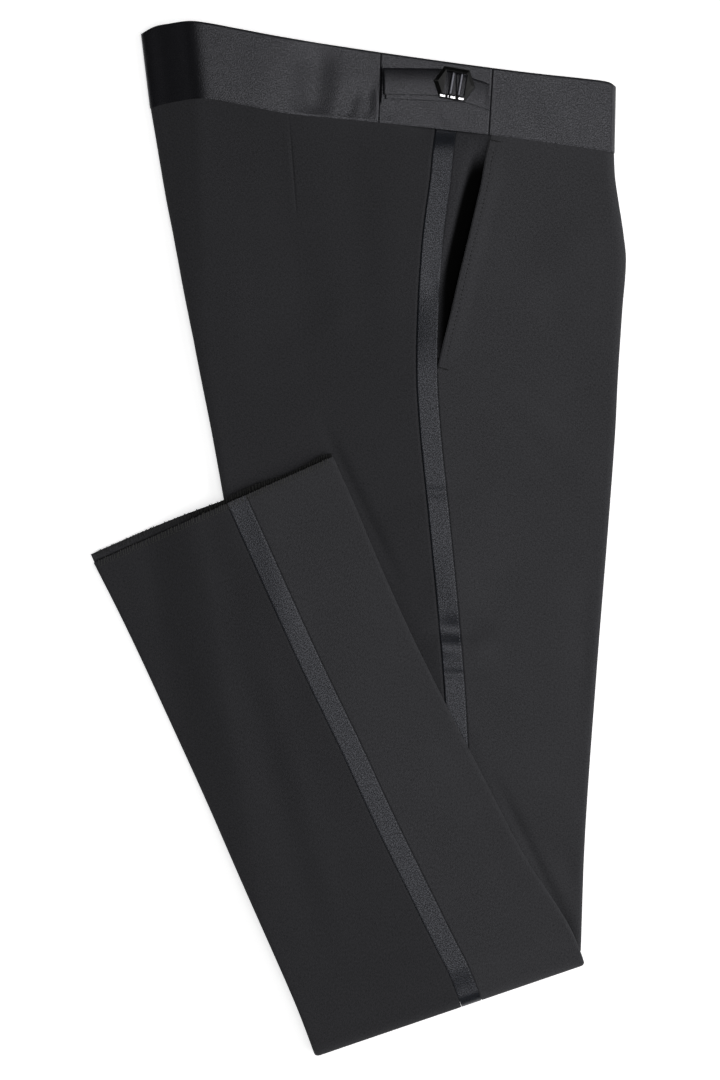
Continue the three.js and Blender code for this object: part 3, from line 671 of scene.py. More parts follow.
def band_side_columns(at, depth):
    """Waistband, side piece: both edges turned in, with a slot that takes in the strap's end."""
    left = at["side_from"]
    right = at["side_to"]
    across = spread(left, 12, left + 2.2, 40, right - 2.0, 8, right)
    deep = depth + lip(across - left, 0.5, 1.2) + lip(right - across, 0.5, 1.2)
    if at["slot"]:
        slot = smooth(at["rise"], 0.29, 0.33) * (1.0 - smooth(at["rise"], 0.74, 0.79))
        deep = deep + 2.2 * slot * (1.0 - smooth(across - left, 1.0, 2.0))
    return across, deep + band_edge(at)


def band_front_columns(at, depth):
    """Waistband, front length: an edge turned into the side seam, then flat to the crease."""
    left = at["side_to"]
    flat_to = at["width"] - at["front_roll"] - 1.5
    across = spread(left, 8, left + 2.0, 40, flat_to)
    deep = depth + lip(across - left, 0.5, 1.2) + band_edge(at)
    roll = front_roll(at, depth, 12)
    return join((across, deep), (roll[0], roll[1] + band_edge(at) * np.linspace(1.0, 0.3, 12)))


# Rows down the cloth
DOWNS = np.concatenate((
    np.linspace(0.0005, 0.012, 5, endpoint=False),
    np.linspace(0.012, 0.26, 96, endpoint=False),
    np.linspace(0.26, 0.29, 20, endpoint=False),
    np.linspace(0.29, 0.572, 80, endpoint=False),
    np.linspace(0.572, 0.642, 56, endpoint=False),
    np.linspace(0.642, 0.9975, 100),
))
UNDER_DOWNS = np.concatenate((
    np.linspace(0.0005, 0.35, 40, endpoint=False),
    np.linspace(0.35, 0.99, 34),
))
TURNS = np.linspace(-90.0, 90.0, 25)
UPS = np.concatenate((
    np.linspace(0.008, 0.97, 130, endpoint=False),
    np.linspace(0.97, 1.0, 10),
))
RISES = np.concatenate((
    [-0.008, 0.004, 0.014, 0.026, 0.038],
    np.linspace(0.05, 0.95, 22),
    [0.965, 0.98, 0.99, 1.0],
))

RIGHT = leg_stations(DOWNS, True)
LEFT = (leg_stations(UNDER_DOWNS, False), turn_stations(TURNS), turned_stations(UPS))
BAND_RIGHT = band_stations(RISES, True)
BAND_LEFT = band_stations(RISES, False)


def right_points(columns, depth, at=RIGHT):
    """The right leg's cloth, lying on top: one row of points a station."""
    return place_upper(at, *columns(at, depth))


def left_points(columns, depth):
    """The left leg's cloth: from the waist along the underside, round the turn, up to the hem."""
    places = (place_under, place_turn, place_turned)
    return np.concatenate([place(at, *columns(at, depth)) for place, at in zip(places, LEFT)])


# Mesh makers
def make_object(name, points, faces, uv, material, sharp=50.0):
    """A mesh object at the origin, smooth but for edges sharper than the given angle."""
    mesh = bpy.data.meshes.new(name)
    mesh.from_pydata(points.tolist(), [], faces.tolist())
    if uv is not None:
        layer = mesh.uv_layers.new(name="cloth")
        loops = np.empty(len(mesh.loops), np.int32)
        mesh.loops.foreach_get("vertex_index", loops)
        layer.data.foreach_set("uv", uv[loops].astype(np.float32).ravel())
    mesh.polygons.foreach_set("use_smooth", np.ones(len(mesh.polygons), bool))
    mesh.set_sharp_from_angle(angle=math.radians(sharp))
    mesh.materials.append(material)
    piece = bpy.data.objects.new(name, mesh)
    bpy.context.scene.collection.objects.link(piece)
    return piece


def outward(points, faces):
    """Turns all faces over if the closed mesh's signed volume is negative."""
    a, b, c = points[faces[:, 0]], points[faces[:, 1]], points[faces[:, 2]]
    d = points[faces[:, 3]]
    volume = np.einsum("ij,ij->", a, np.cross(b, c)) + np.einsum("ij,ij->", a, np.cross(c, d))
    return faces if volume > 0 else faces[:, ::-1]


def grid_faces(index):
    """One four-sided face for each cell of a grid of point numbers."""
    a, b = index[:-1, :-1], index[:-1, 1:]
    c, d = index[1:, 1:], index[1:, :-1]
    return np.stack((a, b, c, d), axis=-1).reshape(-1, 4)


def shell(name, outer, inner, material, inside=None):
    """A wall of cloth: an outer and an inner grid joined round their edges.

    The cloth's own coordinates are distances along its rows and columns, in metres.
    inside says for each point how much painted shade its colour takes, from 0 to 1, for the shadow in
    the pocket's opening and under the hems.
    """
    rows, columns = outer.shape[:2]
    count = rows * columns
    index = np.arange(count).reshape(rows, columns)
    rim = np.concatenate((index[0, :-1], index[:-1, -1], index[-1, :0:-1], index[:0:-1, 0]))
    after = np.roll(rim, -1)
    faces = np.concatenate((
        grid_faces(index),
        grid_faces(index + count)[:, ::-1],
        np.stack((after, rim, rim + count, after + count), axis=-1),
    ))
    points = np.concatenate((outer.reshape(-1, 3), inner.reshape(-1, 3))) * MM
    u = np.zeros((rows, columns))
    v = np.zeros((rows, columns))
    u[:, 1:] = np.cumsum(np.linalg.norm(np.diff(outer, axis=1), axis=2), axis=1)
    v[1:] = np.cumsum(np.linalg.norm(np.diff(outer, axis=0), axis=2), axis=0)
    middle = columns // 2
    u = u - u[:, middle:middle + 1] + u[:, middle].mean()
    uv = np.stack((u, v), axis=-1).reshape(-1, 2) * MM
    piece = make_object(name, points, outward(points, faces), np.concatenate((uv, uv)), material)
    if inside is not None:
        layer = piece.data.attributes.new("inside", "FLOAT", "POINT")
        layer.data.foreach_set("value", np.tile(inside.ravel(), 2).astype(np.float32))
    return piece


def threads(name, paths, radius, material, sides=6, size=None):
    """Round threads or rods: a ring about each point of each path, narrowing at the ends."""
    count, steps = paths.shape[:2]
    along = np.gradient(paths, axis=1)
    along /= np.linalg.norm(along, axis=2, keepdims=True)
    side = np.cross(along, np.array((0.31, 0.22, 0.93)))
    side /= np.linalg.norm(side, axis=2, keepdims=True)
    up = np.cross(side, along)
    if size is None:
        size = np.ones(steps)
        size[[0, -1]] = 0.3
    turn = np.linspace(0.0, 2 * math.pi, sides, endpoint=False)
    ring = np.cos(turn)[:, None] * side[:, :, None, :] + np.sin(turn)[:, None] * up[:, :, None, :]
    points = paths[:, :, None, :] + ring * (radius * size)[None, :, None, None]
    index = np.arange(count * steps * sides).reshape(count, steps, sides)
    index = np.concatenate((index, index[:, :, :1]), axis=2)
    a, b = index[:, :-1, :-1], index[:, :-1, 1:]
    c, d = index[:, 1:, 1:], index[:, 1:, :-1]
    walls = np.stack((a, b, c, d), axis=-1).reshape(-1, 4)
    ends = []
    for row, order in ((0, (3, 2, 1, 0)), (-1, (0, 1, 2, 3))):
        for start in range(0, sides - 2, 2):
            corners = (0, start + 1, start + 2, start + 3)
            ends.append(np.stack([index[:, row, corners[k] % sides] for k in order], axis=-1))
    faces = np.concatenate([walls] + ends)
    points = points.reshape(-1, 3) * MM
    return make_object(name, points, outward(points, faces), None, material)


def dress(piece, slot, *nodes):
    """Lets a piece ride with the part and stand for its nodes, which are hidden; the slot is not
    used.
    """
    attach(piece, "root")
    if nodes:
        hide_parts(*nodes)
    return piece


# Materials
def linear(hex_colour):
    """sRGB hex colour to linear RGBA."""
    value = hex_colour.lstrip("#")
    parts = [int(value[i:i + 2], 16) / 255.0 for i in (0, 2, 4)]
    return [p / 12.92 if p <= 0.04045 else ((p + 0.055) / 1.055) ** 2.4 for p in parts] + [1.0]


def add(tree, kind, settings, links=()):
    """Adds a node: settings are sockets by name or number, or its own properties."""
    node = tree.nodes.new(kind)
    for key, value in settings.items():
        if isinstance(key, int) or key in node.inputs:
            node.inputs[key].default_value = value
        else:
            setattr(node, key, value)
    for source, key in links:
        tree.links.new(source, node.inputs[key])
    return node


def new_material(name, settings):
    material = bpy.data.materials.new(name)
    material.use_nodes = True
    tree = material.node_tree
    shader = tree.nodes["Principled BSDF"]
    for key, value in settings.items():
        shader.inputs[key].default_value = value
    return material, tree, shader


def wool_material(name, dark, light, painted_shade_colour=None, specular=0.25, sheen=0.03):
    """Worsted wool, finely woven and pressed: matt black with thin threads both ways.

    Real threads are 0.35 mm apart, drawn 0.7 mm thick and broken every 1.7 mm so that they show
    as faint flecks, as in the photo; a little sheen stands for the short fibres. Deep in the
    pocket and at the hems the piece's own attribute mixes the colour towards a near black:
    painted shade, for the shadow in the pocket's opening and under the hem.
    """
    material, tree, shader = new_material(name, {
        "Roughness": 0.92,
        "Specular IOR Level": specular,
        "Sheen Weight": sheen,
        "Sheen Roughness": 0.6,
    })
    cloth = add(tree, "ShaderNodeUVMap", {"uv_map": "cloth"})
    grains = []
    for scale in ((1500.0, 600.0, 1.0), (600.0, 1500.0, 1.0), (1900.0, 1900.0, 1.0)):
        place = add(tree, "ShaderNodeMapping", {"Scale": scale}, [(cloth.outputs[0], 0)])
        noise = {"Scale": 1.0, "Detail": 2.0, "Roughness": 0.6}
        grains.append(add(tree, "ShaderNodeTexNoise", noise, [(place.outputs[0], "Vector")]))
    threads_only = add(
        tree, "ShaderNodeMath", {"operation": "ADD"},
        [(grains[0].outputs[0], 0), (grains[1].outputs[0], 1)],
    )
    weave = add(
        tree, "ShaderNodeMath", {"operation": "MULTIPLY_ADD", 1: 0.8},
        [(grains[2].outputs[0], 0), (threads_only.outputs[0], 2)],
    )
    share = add(
        tree, "ShaderNodeMapRange", {"From Min": 1.1, "From Max": 1.7},
        [(weave.outputs[0], 0)],
    )
    place = add(tree, "ShaderNodeTexCoord", {})
    cloud = add(
        tree, "ShaderNodeTexNoise", {"Scale": 16.0, "Detail": 3.0, "Roughness": 0.6},
        [(place.outputs["Object"], "Vector")],
    )
    tint = add(
        tree, "ShaderNodeMath", {"operation": "MULTIPLY_ADD", 1: 0.35},
        [(cloud.outputs[0], 0), (share.outputs[0], 2)],
    )
    ramp = add(tree, "ShaderNodeValToRGB", {}, [(tint.outputs[0], 0)])
    ramp.color_ramp.elements[0].color = linear(dark)
    ramp.color_ramp.elements[1].color = linear(light)
    ramp.color_ramp.elements[0].position = 0.1
    ramp.color_ramp.elements[1].position = 1.0
    tree.links.new(ramp.outputs[0], shader.inputs["Base Color"])
    # Painted shade: the piece's 'inside' attribute turns the colour towards the near-black shade
    # colour
    if painted_shade_colour:
        inside = add(tree, "ShaderNodeAttribute", {"attribute_name": "inside"})
        colour = add(
            tree, "ShaderNodeMixRGB", {"Color2": linear(painted_shade_colour)},
            [(inside.outputs["Fac"], "Fac"), (ramp.outputs[0], "Color1")],
        )
        tree.links.new(colour.outputs[0], shader.inputs["Base Color"])
    bump = add(
        tree, "ShaderNodeBump", {"Strength": 0.6, "Distance": 0.00016},
        [(weave.outputs[0], "Height")],
    )
    tree.links.new(bump.outputs[0], shader.inputs["Normal"])
    return material


def satin_material(name, dark, light, roughness, specular):
    """Satin facing, woven with long floats and calendered: a soft shine with a fine sparkle.

    Floats are 0.1 mm wide in the real cloth, drawn 0.7 to 1 mm wide to be seen as the photo's
    grain. The bump scatters the shine, raised floats are smoother and paler, and the gaps
    between them are rougher and darker. A faint cool tint in the shine is the dyed silk's.
    """
    material, tree, shader = new_material(name, {
        "Specular IOR Level": specular,
        "Specular Tint": (0.93, 0.93, 1.0, 1.0),
    })
    cloth = add(tree, "ShaderNodeUVMap", {"uv_map": "cloth"})
    grains = []
    for scale in ((1300.0, 1000.0, 1.0), (1400.0, 1400.0, 1.0)):
        place = add(tree, "ShaderNodeMapping", {"Scale": scale}, [(cloth.outputs[0], 0)])
        noise = {"Scale": 1.0, "Detail": 1.0, "Roughness": 0.5}
        grains.append(add(tree, "ShaderNodeTexNoise", noise, [(place.outputs[0], "Vector")]))
    both = add(
        tree, "ShaderNodeMath", {"operation": "ADD"},
        [(grains[0].outputs[0], 0), (grains[1].outputs[0], 1)],
    )
    share = add(
        tree, "ShaderNodeMapRange", {"From Min": 0.9, "From Max": 1.12},
        [(both.outputs[0], 0)],
    )
    ramp = add(tree, "ShaderNodeValToRGB", {}, [(share.outputs[0], 0)])
    ramp.color_ramp.elements[0].color = linear(dark)
    ramp.color_ramp.elements[1].color = linear(light)
    tree.links.new(ramp.outputs[0], shader.inputs["Base Color"])
    spread_out = add(
        tree, "ShaderNodeMapRange",
        {"From Min": 1.0, "From Max": 0.0, "To Min": roughness - 0.1, "To Max": roughness + 0.2},
        [(share.outputs[0], 0)],
    )
    tree.links.new(spread_out.outputs[0], shader.inputs["Roughness"])
    bump = add(
        tree, "ShaderNodeBump", {"Strength": 0.8, "Distance": 0.00015},
        [(both.outputs[0], "Height")],
    )
    tree.links.new(bump.outputs[0], shader.inputs["Normal"])
    return material


def plain_material(name, colour, roughness, metallic=0.0, grain=0.0, specular=0.5):
    """A hard or thread finish: one colour, uneven by about 1 mm in tone and roughness."""
    material, tree, shader = new_material(name, {
        "Roughness": roughness,
        "Metallic": metallic,
        "Specular IOR Level": specular,
    })
    place = add(tree, "ShaderNodeTexCoord", {})
    noise = add(
        tree, "ShaderNodeTexNoise", {"Scale": 900.0, "Detail": 3.0},
        [(place.outputs["Object"], "Vector")],
    )
    ramp = add(tree, "ShaderNodeValToRGB", {}, [(noise.outputs[0], 0)])
    base = linear(colour)
    ramp.color_ramp.elements[0].color = [c * (1.0 - grain) for c in base[:3]] + [1.0]
    ramp.color_ramp.elements[1].color = [min(1.0, c * (1.0 + grain)) for c in base[:3]] + [1.0]
    tree.links.new(ramp.outputs[0], shader.inputs["Base Color"])
    rough = add(
        tree, "ShaderNodeMapRange",
        {
            "From Min": 0.3, "From Max": 0.7,
            "To Min": roughness * 0.8, "To Max": min(1.0, roughness * 1.2),
        },
        [(noise.outputs[0], 0)],
    )
    tree.links.new(rough.outputs[0], shader.inputs["Roughness"])
    return material


# Worsted wool: matt black, the back panel's colour a shade darker than the front's
back_wool = wool_material("worsted_wool_back", "#1d1d1f", "#313134")
front_wool = wool_material("worsted_wool_front", "#232325", "#3c3c3f")
# The same wool behind the pocket, with almost no shine, going near black where it sags under the
# pocket's edge: painted shade of the open pocket
facing_wool = wool_material("worsted_wool_facing", "#202022", "#3c3c3f", "#020202", 0.06, 0.0)
# The wool's wrong side at the hems: a little paler and fuzzier, painted near black as shade where the
# layers meet under the hem
inner_wool = wool_material("worsted_wool_inside", "#222225", "#434346", painted_shade_colour="#0c0c0c")
# Satin, calendered: near black that shines soft grey under the lamps, the stripe a little bluer
band_satin = satin_material("satin_waistband", "#000000", "#1f1f23", 0.28, 0.43)
stripe_satin = satin_material("satin_stripe", "#010102", "#24272d", 0.3, 0.36)
strap_satin = satin_material("satin_strap", "#000000", "#1f1f23", 0.28, 0.43)
# Polyester sewing thread, spun and smooth: shows as fine grey dots along the stripe
sewing_thread = plain_material("polyester_thread", "#5a5a5e", 0.5, grain=0.3)
# Overlock thread, loosely spun: a rough, dull, brownish black edge at the hems
overlock_thread = plain_material("overlock_thread", "#333330", 0.75, grain=0.5)
# The same thread darker: painted shade, for the right hem's overlock lying in the left hem's shadow
overlock_painted_shade = plain_material("overlock_thread_inside", "#1a1a19", 0.8, grain=0.5)
# Silk pick thread, sunk into the wool: black, darker than the wool as painted shade of the dents it
# lies in, so faint dark dots along the pocket
pick_thread = plain_material("pick_thread", "#0c0c0d", 0.7, grain=0.2)
# Black enamel, stoved on cast zinc: deep black with a soft gloss
enamel = plain_material("black_enamel", "#050505", 0.36, grain=0.15, specular=0.2)
# Gunmetal plated bars, softly polished, and bright nickel at the worn lower edge
gunmetal = plain_material("gunmetal_bar", "#626268", 0.4, metallic=1.0, grain=0.05)
nickel = plain_material("bright_nickel", "#e8e8ea", 0.2, metallic=1.0, grain=0.02)
# White acrylic table, lit a little from below as for a cut-out picture
floor_paper = plain_material("white_acrylic", "#f3f3f3", 0.9, grain=0.01)
floor_shader = floor_paper.node_tree.nodes["Principled BSDF"]
floor_shader.inputs["Emission Color"].default_value = (1.0, 1.0, 1.0, 1.0)
floor_shader.inputs["Emission Strength"].default_value = 0.6


def cloth(name, slot, material, outer, inner, *nodes, inside=None):
    """A dressed wall of cloth, named after its piece with _cloth added."""
    piece = shell(f"{name}_cloth", outer, inner, material, inside)
    dress(piece, slot, *nodes)


def right_cloth(name, slot, material, columns, depth, thick, at=RIGHT):
    """A piece of the right leg: the same columns at two depths."""
    outer = right_points(columns, depth, at)
    inner = right_points(columns, depth + thick, at)
    cloth(name, slot, material, outer, inner, name)


right_cloth("back_right", "wool", back_wool, back_columns, 0.0, WOOL)
right_cloth("front_right", "wool", front_wool, front_columns, 0.0, WOOL)
right_cloth("stripe_right", "satin", stripe_satin, stripe_columns, -0.12, SATIN)
FACING_RIGHT = leg_stations(np.linspace(0.0005, FACING_END, 90), True)
facing_across = facing_columns(FACING_RIGHT, 0.0)[0]
facing_dip = read(POCKET, "down", "dip", FACING_RIGHT["down"])
facing_dip = facing_dip * dip_share(FACING_RIGHT, facing_across)
# Painted shade: the facing's colour turns near black as its sag deepens from 1.8 to 5.4 mm
cloth(
    "pocket_facing_right", "wool", facing_wool,
    right_points(facing_columns, 0.0, FACING_RIGHT),
    right_points(facing_columns, WOOL, FACING_RIGHT),
    "pocket_facing_right", inside=smooth(facing_dip, 1.8, 5.4),
)
BAND_PARTS = {
    "back": band_back_columns,
    "side": band_side_columns,
    "front": band_front_columns,
}
for part, columns in BAND_PARTS.items():
    name = f"waistband_{part}_right"
    right_cloth(name, "satin", band_satin, columns, -BAND_PROUD, BAND, BAND_RIGHT)


# Cloth pieces of the left leg: the underside, the turn and the turned-up lower leg
def left_front_columns(at, depth):
    """Left front panel: under the stripe's folded edge, then out to the rolled front crease."""
    edge = at["seam"] + STRIPE_WIDTH - 2.0
    if "pocket" in at:
        opened = smooth(at["down"], POCKET_END, POCKET_END + 0.02)
        edge = mix(at["pocket"] + SEAM_GAP / 2, edge, opened)
    flat_to = at["width"] - at["front_roll"] - 1.5
    across = spread(edge, 8, edge + 3.5, 50, flat_to)
    under = lip(across - at["seam"] - STRIPE_WIDTH - 0.1, 0.85, 0.7)
    return join((across, depth + under), front_roll(at, depth))


def left_facing_columns(at, depth):
    """Left pocket facing, pressed flat on the table: from under the stripe to the pocket's edge."""
    left = at["seam"] + STRIPE_WIDTH - 3.0
    right = at["pocket"] - SEAM_GAP / 2
    across = spread(left, 4, at["seam"] + STRIPE_WIDTH + 0.5, 12, right)
    return across, depth + lip(across - at["seam"] - STRIPE_WIDTH, 0.85, 0.6)


def under_cloth(name, slot, material, columns, thick, at):
    """A piece of the underside: the same columns at two depths, flat on the table."""
    outer = place_under(at, *columns(at, 0.0))
    inner = place_under(at, *columns(at, thick))
    cloth(name, slot, material, outer, inner, name)


for name, slot, material, columns, thick in (
    ("back_left", "wool", back_wool, back_columns, WOOL),
    ("front_left", "wool", front_wool, left_front_columns, WOOL),
    ("stripe_left", "satin", stripe_satin, stripe_columns, SATIN),
):
    cloth(name, slot, material, left_points(columns, 0.0), left_points(columns, thick), name)
FACING_LEFT = leg_stations(np.linspace(0.0005, FACING_END, 40), False)
under_cloth("pocket_facing_left", "wool", facing_wool, left_facing_columns, WOOL, FACING_LEFT)
for part, columns in BAND_PARTS.items():
    under_cloth(f"waistband_{part}_left", "satin", band_satin, columns, BAND, BAND_LEFT)


# The hidden layers: the inner sides of both legs, and the right leg's end past the left hem.
# Their underside starts this high, and their upper side this far below the leg's top.
INNER_LOW = 3.15
INNER_TOP = 4.3
HEM_PEEK = table(
    "share beyond",
    (0.00, 6.6),
    (0.25, 6.4),
    (0.45, 4.6),
    (0.55, 3.4),
    (0.62, 4.5),
    (0.70, 4.3),
    (0.80, 2.2),
    (0.90, 2.8),
    (0.96, 4.0),
    (1.00, 3.0),
)


def inner_edge(at, roll, thick, inner, low_start):
    """Edge of the inner legs, bottom to top, as (distance in from the crease, depth).

    Near the waist it is a wedge under the back slope, lower down a round edge, and on the
    turned-up part a layer's rolled nose under the left leg's own crease.
    """
    split, share = at["split"], at["share"]
    outer = mix(INNER_LOW, np.maximum(2 * thick + SEAM_GAP + 0.15, INNER_LOW), share)
    steps = np.linspace(0.0, math.pi, 9)[None, :]
    reach = np.maximum(1.5, roll - 4.0 - 2.0 * split)
    round_in = roll + 3.0 * split - reach * np.sin(steps)
    round_deep = mix(outer, inner, 0.5 - 0.5 * np.cos(steps))
    nose = (inner - outer) / 2
    nose_in = 0.3 + (roll + 2.0 - 0.3) * (1.0 - np.sin(steps))
    nose_deep = outer + nose - nose * np.cos(steps)
    if low_start is not None:
        wedge = low_start
        kept = smooth(split, 0.0, 0.6)
        round_in = mix(wedge[0], round_in, kept)
        round_deep = mix(wedge[1], round_deep, kept)
    return mix(round_in, nose_in, share), mix(round_deep, nose_deep, share)


def inner_wedge(at):
    """The wedge under the back slope: along the underside, to a tip, and up below the slope."""
    upper = roll_facts(at["down"], True)
    upper["width"] = at["width"]
    above = back_roll(upper, INNER_TOP, 21)
    top = leg_top(at["down"], at["width"], above[0])
    low = read(STACK, "down", "low", at["down"])
    tip_deep = low * read(STACK, "down", "back_top", at["down"]) + 0.3
    zero = 0.0 * at["down"]
    across = [12.0 + zero, 9.0 + zero, 6.4 + zero]
    deep = [INNER_LOW + zero, mix(INNER_LOW, tip_deep, 0.35), tip_deep]
    for k in (7, 10, 13, 16, 18, 20):
        across.append(above[0][:, k:k + 1])
        deep.append(top[:, k:k + 1] - above[1][:, k:k + 1])
    return np.concatenate(across, axis=1), np.concatenate(deep, axis=1)


def inner_ring(at, inside, wedge=None, beyond=None):
    """Closed ring round the inner legs: bottom, front edge, top and back edge."""
    width = at["width"]
    back = inner_edge(at, at["back_roll"], at["back_thick"], inside(at["back_roll"]), wedge)
    front_inner = inside(width - at["front_roll"])
    front = inner_edge(at, at["front_roll"], at["front_thick"], front_inner, None)
    share = np.linspace(0.0, 1.0, 61)[1:-1]
    low_in = mix(back[0][:, :1], width - front[0][:, :1], share)
    low_deep = mix(back[1][:, :1], front[1][:, :1], share)
    top_in = mix(width - front[0][:, -1:], back[0][:, -1:], share)
    across = np.concatenate((low_in, width - front[0], top_in, back[0][:, ::-1]), axis=1)
    deep = np.concatenate((low_deep, front[1], inside(top_in), back[1][:, ::-1]), axis=1)
    return across, deep


def inner_points():
    """Rings round the inner legs: along the underside, round the turn, up, and out of the hem."""
    under, turn, turned = LEFT
    rows = []
    at = dict(under, split=read(STACK, "down", "split", under["down"]), share=0.0 * under["down"])
    pocket = at["seam"] + read(POCKET, "down", "ahead", at["down"])
    dip = read(POCKET, "down", "dip", at["down"])
    dip = dip * (1.0 - smooth(at["down"], POCKET_END, POCKET_END + 0.03))

    def inside(x):
        """Depth of the inner legs' upper side: the leg's top, less the wall and the pocket's sag."""
        below_facing = smooth(x - pocket, -24.0, -4.0) * smooth(pocket - x, -40.0, -14.0)
        sag = np.maximum(dip - 2.0, 0.0) * below_facing
        sag = sag + 1.2 * (1.0 - smooth(at["down"], 0.0, 0.035))
        return leg_top(at["down"], at["width"], x) - INNER_TOP - sag

    ring = inner_ring(at, inside, inner_wedge(at))
    rows.append(place_under(at, *ring))
    bent = (np.degrees(turn["angle"]) + 90.0) / 180.0
    flat = mix(STACK["back_top"][-1] - INNER_TOP, TURNED_THICK[0], bent)
    at_turn = dict(turn, split=1.0 + 0 * bent, share=bent)
    rows.append(place_turn(at_turn, *inner_ring(at_turn, lambda x: flat + 0.0 * x)))
    at_up = dict(turned, split=1.0 + 0 * turned["up"], share=1.0 + 0 * turned["up"])
    rows.append(place_turned(at_up, *inner_ring(at_up, lambda x: at_up["thick"] + 0.0 * x)))
    for part in (0.25, 0.6, 1.0):
        end = turned_stations([1.0])
        end.update(split=1.0 + 0 * end["up"], share=1.0 + 0 * end["up"])
        across, deep = inner_ring(end, lambda x: end["thick"] + 0.0 * x)
        end["beyond"] = part * read(HEM_PEEK, "share", "beyond", across / end["width"])
        rows.append(place_turned(end, across, deep))
    return np.concatenate(rows)


def tube(name, points, thick, material, inside):
    """A closed ring carried along rows, given its wall inwards by Solidify."""
    rows, columns = points.shape[:2]
    index = np.arange(rows * columns).reshape(rows, columns)
    index = np.concatenate((index, index[:, :1]), axis=1)
    faces = grid_faces(index)
    u = np.cumsum(np.linalg.norm(np.diff(points, axis=1, prepend=points[:, :1]), axis=2), axis=1)
    v = np.cumsum(np.linalg.norm(np.diff(points, axis=0, prepend=points[:1]), axis=2), axis=0)
    uv = np.stack((u, v), axis=-1).reshape(-1, 2) * MM
    flat = points.reshape(-1, 3) * MM
    piece = make_object(name, flat, outward(flat, faces), uv, material)
    # The 'inside' attribute is the painted shade mask that the wool's shade colour follows
    layer = piece.data.attributes.new("inside", "FLOAT", "POINT")
    layer.data.foreach_set("value", inside.ravel().astype(np.float32))
    wall = piece.modifiers.new("wall", "SOLIDIFY")
    wall.thickness = thick * MM
    wall.offset = -1.0
    return piece


# Only the back half of the right hem shows its wool, beside the crease; the rest takes painted shade,
# near black, rising from none at the back crease to a quarter 60 mm away and full by 92 mm, and full
# on all the hidden rows
inner_places = inner_points()
from_crease = np.hypot(
    inner_places[..., 0] - TURN_UPS["back_x"][-1],
    inner_places[..., 1] - HEM_BACK_Y,
)
hem_painted_shade = smooth(from_crease, 60.0, 92.0) + 0.25 * smooth(from_crease, 0.0, 60.0)
hem_painted_shade = np.clip(hem_painted_shade, 0.0, 1.0)
hem_painted_shade[:-3] = 1.0
inner_legs = tube("inner_legs", inner_places, 0.7, inner_wool, hem_painted_shade)
dress(inner_legs, "inner_cloth", "inner_layers")

# The left leg's inner side, seen at its hem below the outer side, all in painted shade near black
HEM_UPS = turned_stations(np.linspace(0.8, 1.0, 40))
hem_across = spread(HEM_UPS["back_roll"] + 0.4, 60, HEM_UPS["width"] - HEM_UPS["front_roll"] - 0.4)
hem_deep = 2 * HEM_UPS["back_thick"] + 0 * hem_across
cloth(
    "hem_left_inner_side", "inner_cloth", inner_wool,
    place_turned(HEM_UPS, hem_across, hem_deep - 0.75),
    place_turned(HEM_UPS, hem_across, hem_deep - 0.1),
    inside=np.ones_like(hem_across),
)


# The side adjuster
def on_band(x, y, depth):
    """Point on the waistband at a place on the plan: its share of the rise is found by halving."""
    low = np.zeros_like(x)
    high = np.ones_like(x)
    for _ in range(24):
        rise = (low + high) / 2
        at = band_line(rise)
        at.update(rise=rise, down=0.0)
        across = (x - at["bx"]) / at["ax"]
        below = on_plan(at, across)[1] < y
        low = np.where(below, rise, low)
        high = np.where(below, high, rise)
    z = leg_top(0.0, at["width"], across) - depth + fold_height(BAND_FOLDS, x, y)
    return np.stack((x, y, z), axis=-1)


def strap_points(strap, depth, sink_left, sink_right):
    """A flat satin strap between two edges given by their corners, dipping into seam or buckle."""
    u = np.linspace(0.0, 1.0, 60)[:, None]
    near = np.array((0.0, 0.02, 0.05, 0.1))
    v = np.concatenate((near, np.linspace(0.16, 0.84, 12), [0.9, 0.95, 0.98, 1.0]))
    top, low = strap["top"], strap["low"]
    x = mix(mix(top[0][0], top[1][0], u), mix(low[0][0], low[1][0], u), v)
    y = mix(mix(top[0][1], top[1][1], u), mix(low[0][1], low[1][1], u), v)
    length = math.hypot(top[1][0] - top[0][0], top[1][1] - top[0][1])
    edge = np.minimum(v, 1.0 - v) * 20.0
    deep = depth + strap["lean"] * (1.0 - v) ** 3 + lip(edge, 0.25, 0.8)
    deep = deep - 0.25 * np.sin(math.pi * v) * np.sin(math.pi * u)
    deep = deep + lip(u * length, sink_left, 1.1) + lip((1.0 - u) * length, sink_right, 4.0)
    return on_band(x, y, deep)


for name, sinks in (
    ("adjuster_strap_tail", (0.8, 0.3)),
    ("adjuster_strap_back", (2.4, 0.5)),
    ("adjuster_strap_front", (0.4, 0.35)),
):
    strap = STRAPS[name]
    cloth(
        name, "satin", strap_satin,
        strap_points(strap, strap["depth"], *sinks),
        strap_points(strap, strap["depth"] + strap["cloth"], *sinks), name,
    )

buckle_ends = BUCKLE["centre"][0] + np.array((-BUCKLE["half_width"], BUCKLE["half_width"]))
BUCKLE_LEFT, BUCKLE_RIGHT = on_band(buckle_ends, np.full(2, BUCKLE["centre"][1]), BUCKLE["depth"])


def on_buckle(x, y, z):
    """From the buckle's own axes to the part: turned by its tilt and leaned with the waistband."""
    tilt = math.radians(BUCKLE["tilt"])
    run = BUCKLE_RIGHT - BUCKLE_LEFT
    slope = math.atan2(run[2], run[0])
    centre = (BUCKLE_LEFT + BUCKLE_RIGHT) / 2
    turned_x = x * math.cos(tilt) - y * math.sin(tilt)
    turned_y = x * math.sin(tilt) + y * math.cos(tilt)
    out_x = turned_x * math.cos(slope) - z * math.sin(slope)
    out_z = turned_x * math.sin(slope) + z * math.cos(slope)
    return np.stack((out_x + centre[0], turned_y + centre[1], out_z + centre[2]), axis=-1)


